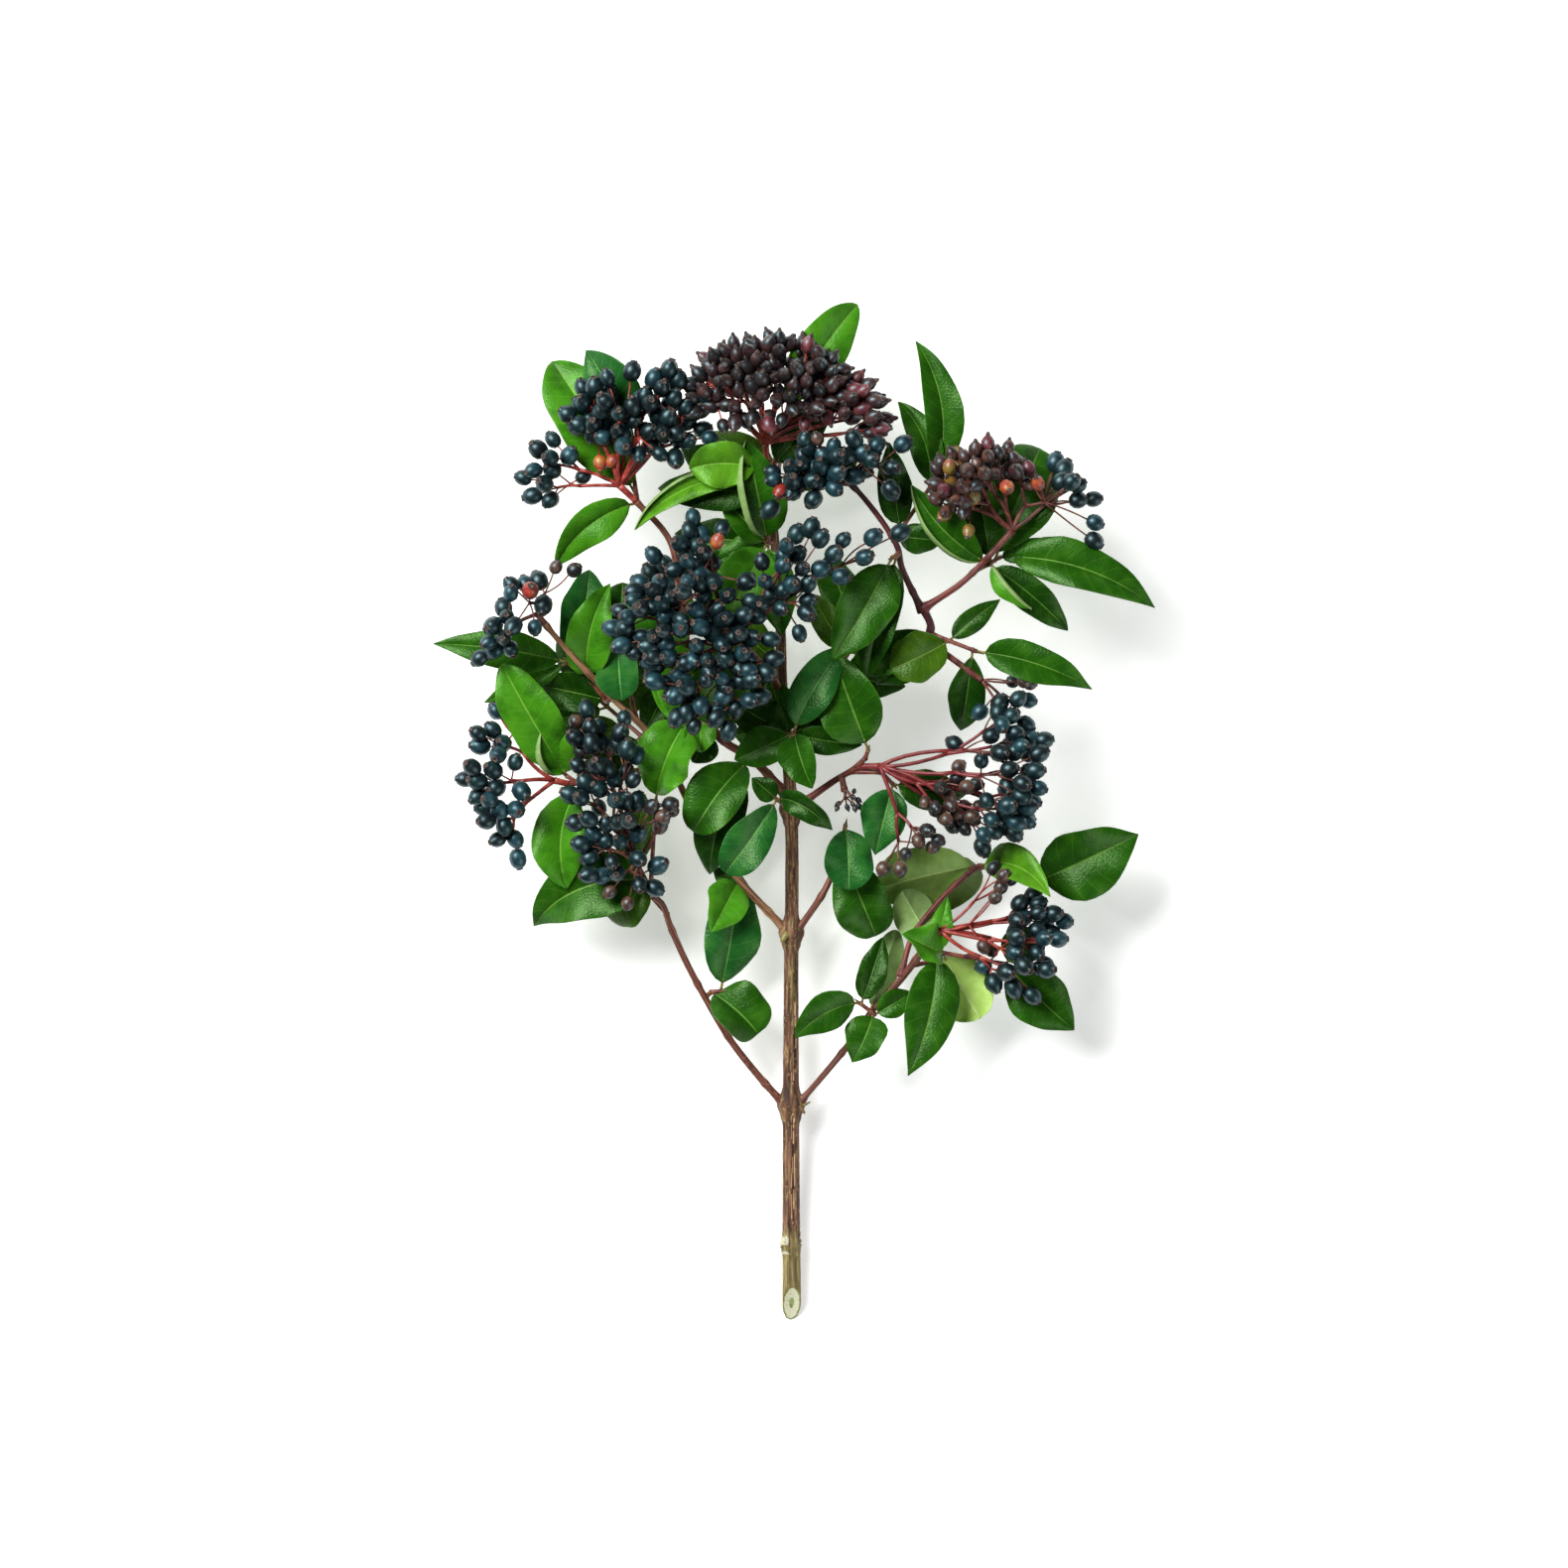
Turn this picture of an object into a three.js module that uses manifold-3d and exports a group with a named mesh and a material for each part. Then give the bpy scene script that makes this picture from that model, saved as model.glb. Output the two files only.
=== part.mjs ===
// A cut branch of laurustinus in ripe berry, lying on a table.
// +Y runs from the slanted cut at the stem's foot to the tip of the crown, +X to the right of it,
// and +Z up from the table. The origin lies on the table under the middle of the branch.
// Lengths are millimetres, angles are degrees, headings turn from +X towards +Y.
import * as THREE from "three";
import { mergeVertices } from "three/addons/utils/BufferGeometryUtils.js";
import Module from "manifold-3d";

const wasm = await Module();
wasm.setup();

// Driving sizes of the wood
const STEM_FOOT_RADIUS = 3.8;
const STEM_TOP_RADIUS = 1.7;
const NODE_SWELLING = 1.9;
const NODE_REACH = 5;
const STEM_SIDES = 8;
const BOUGH_SIDES = 5;
const STEM_RING_SPACING = 8;
const BOUGH_RING_SPACING = 20;
const TWIG_RADIUS = 1.15;
const TWIG_INSET = 5;

// Driving sizes of the leaves
const LEAF_THICKNESS = 1.3;
const LEAF_FULLNESS = 1.1;
const LEAF_FOLD = 0.2;
const LEAF_ARCH = 0.07;
const PETIOLE_HALF_WIDTH = 0.8;
const ROOT_DEPTH = 1.3;
const RISE_STEPS = [0, 6, -6, 12, -12, 18, -18, 25, -25, 32, -32];

// Driving sizes of the fruit
const BERRY_RADIUS = 4.2;
const BERRY_STRETCH = 1.15;
const BERRY_SPACING = 9.2;
const DEAL_TRIES = 4000;
const SHELL_DEPTH = 0.3;
const HUB_SIDE = -0.3;
const RAY_RADIUS = 0.9;
const RAY_SHARE = 0.55;
const STALK_RADIUS = 0.55;
const UMBEL_SIZE = 8;

// Solids stay this far apart
const CLEARANCE = 0.35;
const TOUCH_SHARE = 0.04;

// Where the stem carries its swollen nodes and its old bud scar, as places along +Y
const STEM_NODES = [-123.5, -50, 2.5];
const SCAR = { y: -183, height: 1.1, reach: 3 };

// The slanted cut through the stem's foot
const CUT = { at: [-0.2, -209.6, 3.9], normal: [0.1, -0.53, 0.84] };

// The wood: each limb runs along its path and tapers from its foot to its tip
const STEM = {
  name: "stem",
  path: [[-0.2, -218, 3.9], [-0.6, -155, 9], [-0.6, -75, 20], [-0.6, 2.5, 33], [-4.4, 55, 40],
    [-5.7, 93, 44], [-10.7, 150, 50]],
};
const BOUGHS = [
  { name: "bough_low_left", foot: 1.6, tip: 1.3,
    path: [[-3, -124, 13.5], [-22, -95, 19], [-35.5, -74, 23], [-47, -54, 28], [-53, -39, 33], [-59, -35, 37]] },
  { name: "bough_low_right", foot: 1.3, tip: 1.6,
    path: [[2, -124, 13.5], [23, -99, 20], [35, -82, 25], [46, -70, 29], [56.5, -56, 34]] },
  { name: "bough_right_side", foot: 1.3, tip: 1.1,
    path: [[46, -69, 29], [51, -52, 26], [64, -35, 26], [78, -22, 29]] },
  { name: "bough_left", foot: 1.7, tip: 1.2,
    path: [[-2, -50, 25], [-24.5, -25.5, 28], [-42.5, 2, 30], [-53, 23.5, 32], [-61.5, 35, 34], [-78, 51, 39],
      [-97, 71.5, 46], [-105, 81, 49]] },
  { name: "bough_left_side", foot: 1.3, tip: 1.1,
    path: [[-52, 23, 31.5], [-68.5, 18, 31], [-83.5, 14.5, 33], [-95, 13, 36]] },
  { name: "bough_right", foot: 1.5, tip: 1.3,
    path: [[1, -51, 25], [13.5, -32.5, 29], [19.5, -19, 32]] },
  { name: "bough_top_left", foot: 1.9, tip: 1.3,
    path: [[-3, 9, 34], [-17, 23.5, 38], [-31, 33, 41], [-41.5, 55, 45], [-47.5, 93, 49], [-52, 116, 52],
      [-66, 132.5, 56]] },
  { name: "bough_right_upper", foot: 1.7, tip: 1.2,
    path: [[3, 4, 34], [19.5, 15.5, 39], [29, 20.5, 43]] },
  { name: "bough_top_right", foot: 1.8, tip: 1.6,
    path: [[-3, 48, 40], [26, 59, 44], [49, 67.5, 47], [58.5, 78.5, 50], [55.5, 87, 52]] },
  { name: "bough_top_right_inner", foot: 1.5, tip: 1.1,
    path: [[55, 86, 52], [46, 105, 58], [44.5, 112.5, 60], [39.5, 121.5, 62], [29, 135, 65], [24, 140, 67]] },
  { name: "bough_top_right_outer", foot: 1.5, tip: 1.2,
    path: [[55, 87, 52], [71.5, 98, 56], [81, 107, 58]] },
  { name: "bough_front", foot: 1.5, tip: 1.3,
    path: [[-5, 52, 40], [-9, 59, 55], [-18, 69, 65]] },
  { name: "bough_back", foot: 1.5, tip: 1.2,
    path: [[-1.5, 17, 34], [-9, 42, 24], [-20, 67, 18]] },
];

// The berry clusters: a stalk from its root to the hub, and round each lobe's middle an ellipsoid of half
// sizes that the berries cover on the side away from the hub
const CLUSTERS = [
  { name: "berries_top", unripe: true, root: [-10.8, 151, 50], hub: [-11.5, 157, 54], lobes: [
    { at: [-12, 183, 62], half: [36, 20, 18], turn: 0, berries: 16 },
    { at: [27, 172, 62], half: [13, 11, 10], turn: -40, berries: 3 }] },
  { name: "berries_top_left", root: [-67, 133.5, 56], hub: [-73, 139, 58], lobes: [
    { at: [-63, 169, 66], half: [33, 18, 16], turn: 8, berries: 11 },
    { at: [-101, 145, 60], half: [14, 13, 12], turn: 0, berries: 4 }] },
  { name: "berries_top_centre", root: [23, 141, 67], hub: [12, 140, 71], lobes: [
    { at: [17, 144, 78], half: [30, 15, 12], turn: 5, berries: 8 },
    { at: [38, 135, 72], half: [9, 21, 10], turn: 0, berries: 3 }] },
  { name: "berries_centre", root: [-19, 70, 66], hub: [-24.5, 76, 71], lobes: [
    { at: [-40, 81, 86], half: [35, 45, 16], turn: 0, berries: 16 },
    { at: [10, 99, 84], half: [24, 24, 14], turn: 0, berries: 7 }] },
  { name: "berries_top_right", unripe: true, root: [82, 108, 58.5], hub: [93, 120, 62], lobes: [
    { at: [80, 139, 66], half: [22, 19, 15], turn: 0, berries: 8 },
    { at: [120, 140, 62], half: [10, 9, 10], turn: 0, berries: 3 }] },
  { name: "berries_far_left", root: [-106, 82.5, 50], hub: [-108, 85, 52], lobes: [
    { at: [-113, 84, 58], half: [18, 19, 14], turn: 0, berries: 7 }] },
  { name: "berries_left", root: [-96, 13, 36.5], hub: [-105, 17, 38], lobes: [
    { at: [-127, 13, 46], half: [13, 34, 12], turn: 12, berries: 8 }] },
  { name: "berries_low_left", root: [-60, -34.5, 38], hub: [-66.5, -20.5, 44], lobes: [
    { at: [-82, 24, 54], half: [14, 24, 12], turn: 0, berries: 6 },
    { at: [-75, -17, 52], half: [18, 18, 14], turn: 0, berries: 6 }] },
  { name: "berries_right", root: [30, 21, 44], hub: [37, 20.5, 47], lobes: [
    { at: [89, 21, 50], half: [18, 35, 20], turn: 0, berries: 11 },
    { at: [50, -10, 46], half: [15, 14, 12], turn: 0, berries: 4 },
    { at: [68, 21, 58], half: [11, 11, 10], turn: 0, berries: 2 }] },
  { name: "berries_low_right", root: [57.5, -55, 35], hub: [62.5, -49, 37], lobes: [
    { at: [98, -52, 40], half: [18, 26, 16], turn: 0, berries: 8 }] },
  { name: "berries_back", root: [-21, 69, 17.5], hub: [-26, 76, 16], lobes: [
    { at: [-41, 93, 15], half: [25, 25, 10], turn: 0, berries: 5 }] },
];

// The leafy shoots: a twig from its foot to its tip, and its leaves. Each leaf leaves the twig at a share
// of its length, and has a heading, length, width, rise over the table and roll about its midrib
const SHOOTS = [
  { name: "leaves_top_left", foot: [-66.5, 136, 51], tip: [-70, 163, 50], leaves: [
    [0.1, 124, 65, 26, -4, 10], [1, 118, 38, 15, 4, -20], [0, -137, 47, 17, -6, -15]] },
  { name: "leaves_top", foot: [-10.5, 115, 50], tip: [-12, 139, 62], leaves: [
    [0, 104, 45, 12, 22, 50], [1, 169, 32, 19, 8, -5], [0.85, -165, 58, 10, 0, 30],
    [0, 138, 27, 17, 5, 20], [0, -161, 23, 13, -5, 10]] },
  { name: "leaves_top_back", foot: [-9, 144, 45], tip: [-1.5, 174.5, 44], leaves: [
    [0.9, 55, 53, 20, 6, 10], [0.1, 51, 41, 15, 0, 0]] },
  { name: "leaves_far_left", foot: [-78.5, 48.5, 33], tip: [-95, 64.5, 37], leaves: [
    [0.5, 77, 43, 19, 10, 0], [0.9, 80, 42, 19, -6, 10], [1, 172, 58, 19, 2, 5],
    [0, 168, 34, 15, -12, 0], [1, -155, 42, 8, -18, 0]] },
  { name: "leaves_left_inner", foot: [-66.5, 41.5, 30], tip: [-74, 72, 34], leaves: [
    [1, -86, 25, 14, 20, 10], [1, 70, 23, 17, -8, 0]] },
  { name: "leaves_left", foot: [-86.5, 10.5, 30], tip: [-96, 16.5, 34], leaves: [
    [1, 120, 56, 22, 14, -10], [0, 124, 34, 13, 30, 30], [0.4, -95, 44, 16, 4, 10]] },
  { name: "leaves_low_left", foot: [-60.5, -32.5, 31], tip: [-58, 6.5, 34], leaves: [
    [0.1, -159, 55, 21, -10, 5], [0.12, -135, 31, 19, -20, 0], [1, 70, 34, 21, 16, -20],
    [0.2, 57, 25, 5, 10, 0]] },
  { name: "leaves_low_left_node", foot: [-34.5, -75.5, 20], tip: [-30.5, -75, 22], leaves: [
    [1, 81, 51, 24, 8, 15], [1, -66, 22, 19, 12, -20]] },
  { name: "leaves_left_foot", foot: [-23, -28, 24], tip: [-24, -26.5, 23], leaves: [
    [0, -118, 24, 16, -8, 10], [0, 158, 20, 13, -12, 0]] },
  { name: "leaves_under_centre", foot: [-29.5, 30.5, 38], tip: [-39.5, 39, 40], leaves: [
    [0.8, 137, 33, 17, 6, 10], [1, -86, 13, 14, 14, 0], [0.4, -129, 19, 13, -10, 0]] },
  { name: "leaves_top_left_foot", foot: [-18.5, 23, 36], tip: [-22, 20.5, 36], leaves: [
    [0, -128, 39, 21, 12, 15], [1, -106, 49, 15, -10, 0]] },
  { name: "leaves_node", foot: [-3.5, 4, 40], tip: [-6.5, 6.5, 44], leaves: [
    [1, -125, 39, 20, 2, -10], [1, -36, 28, 10, 6, 20]] },
  { name: "leaves_centre", foot: [-1, 33, 44], tip: [0.5, 35, 54], leaves: [
    [1, 68, 38, 21, 0, 0], [1, -77, 21, 13, 10, 40], [0.6, -9, 30, 10, -4, 10],
    [0.6, -156, 27, 15, -6, 0]] },
  { name: "leaves_low_right_node", foot: [35, -85, 27], tip: [28.5, -80, 30], leaves: [
    [1, -152, 31, 13, 6, -15], [0.2, -108, 23, 18, 8, 10], [0, 3, 19, 13, -10, 0],
    [0.9, 76, 36, 12, -10, 0]] },
  { name: "leaves_low_right", foot: [58, -57.5, 32], tip: [84.5, -69, 30], leaves: [
    [0.1, -103, 54, 24, 8, 5], [0.2, -61, 32, 21, -8, 180], [0.25, 148, 22, 13, 20, 40],
    [1, -33, 42, 25, -4, 10], [1, 27, 24, 17, -14, 0]] },
  { name: "leaves_right_foot", foot: [20, -17, 30], tip: [22.5, -4.5, 36], leaves: [
    [1, -92, 31, 22, 10, -10], [0.1, -65, 38, 18, -6, 0]] },
  { name: "leaves_right", foot: [79.5, -21.5, 29], tip: [103, -29, 28], leaves: [
    [0, -167, 43, 21, -6, 175], [0.1, -159, 50, 17, -12, 0], [0.1, -27, 29, 12, 24, 0],
    [1, 25, 49, 29, 6, 10]] },
  { name: "leaves_right_behind", foot: [38, 18, 44], tip: [42.5, 13, 42], leaves: [
    [1, -104, 31, 19, -8, 0], [1, -8, 33, 17, -16, 0]] },
  { name: "leaves_right_knot", foot: [60, 76, 50], tip: [78, 69, 53], leaves: [
    [0.35, -154, 28, 19, 10, -5], [1, -17, 51, 19, 4, -10], [0.35, 39, 28, 10, -6, 0],
    [0.3, -148, 36, 15, -10, 0], [0.9, -95, 42, 13, -30, 0]] },
  { name: "leaves_top_right", foot: [83, 106, 56], tip: [88, 109, 52], leaves: [
    [0, -42, 46, 19, -8, 0], [1, -20, 69, 21, 4, -15], [0.1, -49, 27, 8, 16, 50],
    [0.8, 17, 25, 10, -2, 0], [0.5, 68, 53, 27, -12, 0], [0, 137, 47, 10, 8, -50]] },
  { name: "leaves_top_right_back", foot: [44, 118, 52], tip: [59.5, 140.5, 48], leaves: [
    [1, 97, 60, 16, 4, 5], [0.9, 110, 39, 13, -4, 0], [0.1, 97, 38, 19, -6, 0],
    [0, -6, 20, 13, -8, 0]] },
  { name: "leaves_centre_right", foot: [44, 109.5, 63], tip: [42, 108.5, 66], leaves: [
    [1, -120, 50, 23, 4, -10], [0, -102, 54, 21, -8, 10]] },
  { name: "leaves_right_upper", foot: [31, 24, 46], tip: [32, 27.5, 50], leaves: [
    [1, 113, 46, 22, 8, -10]] },
];

// Shoots on the side that faces the table: opposite pairs of leaves follow one another along the twig, each
// turned to its side by the spread, all within the reach round the twig's middle
const BACK_SHOOTS = [
  { name: "leaves_back_left", foot: [-57, 27, 28], tip: [-86, 52, 12], pairs: 4, length: 38, reach: 52 },
  { name: "leaves_back_right", foot: [14, 52, 38], tip: [34, 86, 14], pairs: 4, length: 34, reach: 48 },
  { name: "leaves_back_top", foot: [-9, 128, 40], tip: [-4, 158, 13], pairs: 4, length: 40, reach: 52 },
  { name: "leaves_back_middle", foot: [-10, 40, 21], tip: [-4, 78, 12], pairs: 3, length: 38, reach: 48 },
  { name: "leaves_back_low_left", foot: [-54, -41, 29], tip: [-78, -16, 14], pairs: 3, length: 32, reach: 42 },
  { name: "leaves_back_low_right", foot: [51, -64, 28], tip: [76, -60, 13], pairs: 3, length: 34, reach: 42 },
];
const PAIR_SPREAD = 62;
const BACK_WIDTH_SHARE = 0.45;
const BACK_RISE = -16;
const BACK_SWING = 20;

const UP = new THREE.Vector3(0, 0, 1);
const vector = (point) => new THREE.Vector3(...point);

// A seeded series of numbers from 0 to 1, the same on every run
function seededSeries(seed) {
  let state = seed >>> 0;
  return () => {
    state = (state + 0x6d2b79f5) >>> 0;
    let t = Math.imul(state ^ (state >>> 15), 1 | state);
    t = (t + Math.imul(t ^ (t >>> 7), 61 | t)) ^ t;
    return ((t ^ (t >>> 14)) >>> 0) / 4294967296;
  };
}

// A closed three.js geometry as a solid that can be joined and cut
function solidOf(geometry, tolerance = 1e-4) {
  const bare = new THREE.BufferGeometry().setAttribute("position", geometry.getAttribute("position"));
  if (geometry.index) bare.setIndex(geometry.index);
  const merged = mergeVertices(bare, tolerance);
  return new wasm.Manifold(new wasm.Mesh({
    numProp: 3,
    vertProperties: merged.getAttribute("position").array,
    triVerts: new Uint32Array(merged.index.array),
  }));
}

function geometryOf(solid) {
  const { vertProperties, triVerts } = solid.getMesh();
  const geometry = new THREE.BufferGeometry();
  geometry.setAttribute("position", new THREE.BufferAttribute(vertProperties, 3));
  return geometry.setIndex(new THREE.BufferAttribute(triVerts, 1));
}

// The largest body of a solid once its closest vertices are merged: loose scraps are dropped
function largestBody(solid) {
  const merged = solidOf(geometryOf(solid), 1e-3);
  return merged.decompose().sort((a, b) => b.volume() - a.volume())[0];
}

// The axis of a limb: points evenly spaced along a smooth curve through its path, each with its frame
function axisOf(path, spacing) {
  const curve = new THREE.CatmullRomCurve3(path.map(vector), false, "centripetal");
  const steps = Math.max(2, Math.round(curve.getLength() / spacing));
  return { points: curve.getSpacedPoints(steps), frames: curve.computeFrenetFrames(steps) };
}
const stemAxis = axisOf(STEM.path, STEM_RING_SPACING);
const boughAxes = BOUGHS.map(({ path }) => axisOf(path, BOUGH_RING_SPACING));

// The place on the nearest limb's axis, at least an inset back from that limb's tip
function nearestOnLimbs(point, inset) {
  const spots = [stemAxis, ...boughAxes].flatMap(({ points }) => points.slice(1).map((end, i) => {
    const run = new THREE.Line3(points[i], end);
    const spare = i === points.length - 2 ? inset / run.distance() : 0;
    const share = Math.min(run.closestPointToPointParameter(point, true), 1 - spare);
    return run.at(share, new THREE.Vector3());
  }));
  return spots.reduce((best, spot) => (spot.distanceTo(point) < best.distanceTo(point) ? spot : best));
}

// A limb: a round tube along its axis, its radius given along its length
function limb({ points, frames }, radiusAt, sides, grow = 0) {
  const steps = points.length - 1;
  const tube = new THREE.CylinderGeometry(1, 1, 1, sides, steps);
  const position = tube.getAttribute("position");
  for (let i = 0; i < position.count; i++) {
    const ring = Math.round((position.getY(i) + 0.5) * steps);
    const radius = radiusAt(points[ring], ring / steps) + grow;
    const point = points[ring].clone()
      .addScaledVector(frames.normals[ring], position.getX(i) * radius)
      .addScaledVector(frames.binormals[ring], -position.getZ(i) * radius);
    if (ring === 0) point.addScaledVector(frames.tangents[ring], -grow);
    if (ring === steps) point.addScaledVector(frames.tangents[ring], grow);
    position.setXYZ(i, point.x, point.y, point.z);
  }
  return solidOf(tube);
}

// A thin stalk through its points, mitred where it bends
function stalk(points, radius, sides, grow = 0) {
  const steps = points.length - 1;
  const heading = new THREE.Vector3(0, 1, 0);
  const turned = new THREE.Quaternion();
  const turns = points.map((point, i) => {
    const next = points[Math.min(i + 1, steps)].clone().sub(points[Math.max(i - 1, 0)]).normalize();
    turned.premultiply(new THREE.Quaternion().setFromUnitVectors(heading, next));
    heading.copy(next);
    return turned.clone();
  });
  const rod = new THREE.CylinderGeometry(radius + grow, radius + grow, steps, sides, steps);
  const position = rod.getAttribute("position");
  for (let i = 0; i < position.count; i++) {
    const ring = Math.round(position.getY(i) + steps / 2);
    const skin = new THREE.Vector3(position.getX(i), 0, position.getZ(i));
    skin.applyQuaternion(turns[ring]).add(points[ring]);
    position.setXYZ(i, skin.x, skin.y, skin.z);
  }
  return solidOf(rod);
}

// A leaf: four-sided rings from the petiole to the pointed tip, folded along the midrib and arched.
// Each ring has its share of the length and its share of the half width
const LEAF_RINGS = [
  { along: 0, wide: 0 }, { along: 0.08, wide: 0 }, { along: 0.3, wide: 0.94 }, { along: 0.66, wide: 0.84 },
  { along: 1, wide: 0 },
];
function leaf(foot, [heading, length, width, rise, roll], grow = 0) {
  const last = LEAF_RINGS.length - 1;
  const blade = new THREE.SphereGeometry(1, 4, last);
  const position = blade.getAttribute("position");
  for (let i = 0; i < position.count; i++) {
    const ring = Math.round((Math.acos(THREE.MathUtils.clamp(position.getY(i), -1, 1)) / Math.PI) * last);
    const { along, wide } = LEAF_RINGS[ring];
    const round = Math.sin((Math.PI * ring) / last);
    const pole = ring === 0 || ring === last;
    const side = pole ? 0 : position.getX(i) / round;
    const face = pole ? 0 : position.getZ(i) / round;
    const halfWidth = Math.max(PETIOLE_HALF_WIDTH, (wide * width * LEAF_FULLNESS) / 2) + grow;
    const end = ring === 0 ? -ROOT_DEPTH - grow : ring === last ? grow : 0;
    const arch = LEAF_ARCH * length * 4 * along * (1 - along);
    const fold = Math.abs(side) * wide * (width / 2) * LEAF_FOLD;
    const height = face * (LEAF_THICKNESS / 2 + grow) + arch + fold;
    position.setXYZ(i, length * along + end, side * halfWidth, height);
  }
  blade.rotateX(THREE.MathUtils.degToRad(roll));
  blade.rotateY(-THREE.MathUtils.degToRad(rise));
  blade.rotateZ(THREE.MathUtils.degToRad(heading));
  blade.translate(foot.x, foot.y, foot.z);
  return solidOf(blade);
}

// A berry: an egg of twenty faces on a stalk that tapers from the knot into it
function berry(from, at, grow = 0) {
  const pointing = at.clone().sub(from);
  const length = pointing.length();
  const egg = new THREE.IcosahedronGeometry(BERRY_RADIUS + grow, 0);
  egg.scale(1, BERRY_STRETCH, 1).translate(0, length, 0);
  const tapered = new THREE.ConeGeometry(STALK_RADIUS + grow, length + 1, 3, 1);
  tapered.translate(0, (length + 1) / 2, 0);
  const turned = new THREE.Quaternion().setFromUnitVectors(new THREE.Vector3(0, 1, 0), pointing.normalize());
  const place = (shape) => solidOf(shape.applyQuaternion(turned).translate(from.x, from.y, from.z));
  return place(egg).add(place(tapered));
}

// The berries of one lobe, dealt over the ellipsoid's outer shell on the side away from the hub
function dealBerries(lobe, hub, random) {
  const middle = vector(lobe.at);
  const half = vector(lobe.half);
  const turn = THREE.MathUtils.degToRad(lobe.turn);
  const away = middle.clone().sub(hub).applyAxisAngle(UP, -turn).divide(half).normalize();
  const berries = [];
  for (let tries = 0; berries.length < lobe.berries && tries < DEAL_TRIES; tries++) {
    const z = 2 * random() - 1;
    const angle = 2 * Math.PI * random();
    const across = Math.sqrt(1 - z * z);
    const direction = new THREE.Vector3(across * Math.cos(angle), across * Math.sin(angle), z);
    const depth = 1 - SHELL_DEPTH * random();
    if (direction.dot(away) < HUB_SIDE) continue;
    const at = direction.multiply(half).multiplyScalar(depth).applyAxisAngle(UP, turn).add(middle);
    if (at.z < BERRY_RADIUS * BERRY_STRETCH) continue;
    if (berries.every((other) => other.distanceTo(at) > BERRY_SPACING)) berries.push(at);
  }
  return berries;
}

// The rays of a cluster: a ray runs more than halfway to the middle of its berries. A few berries sit on its
// end, and more are shared out along their widest direction, each share forking on by the same rule
function forkRays(from, berries, place) {
  const middle = berries.reduce((sum, at) => sum.add(at), new THREE.Vector3()).divideScalar(berries.length);
  const knot = from.clone().lerp(middle, RAY_SHARE);
  place.ray(from, knot);
  if (berries.length <= UMBEL_SIZE) {
    berries.forEach((at) => place.berry(knot, at));
    return;
  }
  const size = new THREE.Box3().setFromPoints(berries).getSize(new THREE.Vector3());
  const axis = size.x >= size.y && size.x >= size.z ? "x" : size.y >= size.z ? "y" : "z";
  const shares = berries.length > 2 * UMBEL_SIZE ? 3 : 2;
  const inOrder = [...berries].sort((a, b) => a[axis] - b[axis]);
  for (let i = 0; i < shares; i++) {
    const start = Math.round((i * inOrder.length) / shares);
    const end = Math.round(((i + 1) * inOrder.length) / shares);
    forkRays(knot, inOrder.slice(start, end), place);
  }
}

// What is already placed, each solid grown by the clearance that later ones keep from it
const placed = [];
const group = new THREE.Group();

function addNode(name, solid, material) {
  const geometry = geometryOf(solid);
  geometry.computeVertexNormals();
  const mesh = new THREE.Mesh(geometry, material);
  mesh.name = name;
  group.add(mesh);
}

// A solid cut back to its clearance from what is already placed
const cutBack = (solid) => largestBody(placed.reduce((rest, grown) => rest.subtract(grown), solid));

// Joins the pieces of one mass and cuts it back to its clearance. A piece comes with one or more ways of
// lying: the first that is clear of what is already placed is taken, and a piece with none is left out
function addMass(name, pieces, material) {
  const isClear = (make) => {
    const solid = make(0);
    const most = TOUCH_SHARE * solid.volume();
    return placed.every((grown) => solid.intersect(grown).volume() <= most);
  };
  const kept = pieces.map(({ ways, needed }) => ways.find(isClear) ?? (needed && ways[0])).filter(Boolean);
  const join = (grow) => kept.map((make) => make(grow)).reduce((all, piece) => all.add(piece));
  addNode(name, cutBack(join(0)), material);
  placed.push(join(CLEARANCE));
}

// A twig springs from the nearest limb and runs through its points
function twig(inset, ...points) {
  const line = [nearestOnLimbs(points[0], inset), ...points];
  return { needed: true, ways: [(grow) => stalk(line, TWIG_RADIUS, 4, grow)] };
}

// A leaf that would run into something lies higher or lower by steps of its rise
function leafPiece(at, [heading, length, width, rise, roll]) {
  const ways = RISE_STEPS.map((step) => (grow) => leaf(at, [heading, length, width, rise + step, roll], grow));
  return { ways };
}

const barkMaterial = new THREE.MeshStandardMaterial({ color: "#7a5a40", roughness: 0.8, metalness: 0 });
const twigBarkMaterial = new THREE.MeshStandardMaterial({ color: "#6e3f36", roughness: 0.6, metalness: 0 });
const leafMaterial = new THREE.MeshStandardMaterial({ color: "#2f6b22", roughness: 0.45, metalness: 0 });
const ripeMaterial = new THREE.MeshStandardMaterial({ color: "#1b2b3a", roughness: 0.35, metalness: 0 });
const unripeMaterial = new THREE.MeshStandardMaterial({ color: "#5a2f38", roughness: 0.45, metalness: 0 });

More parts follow.
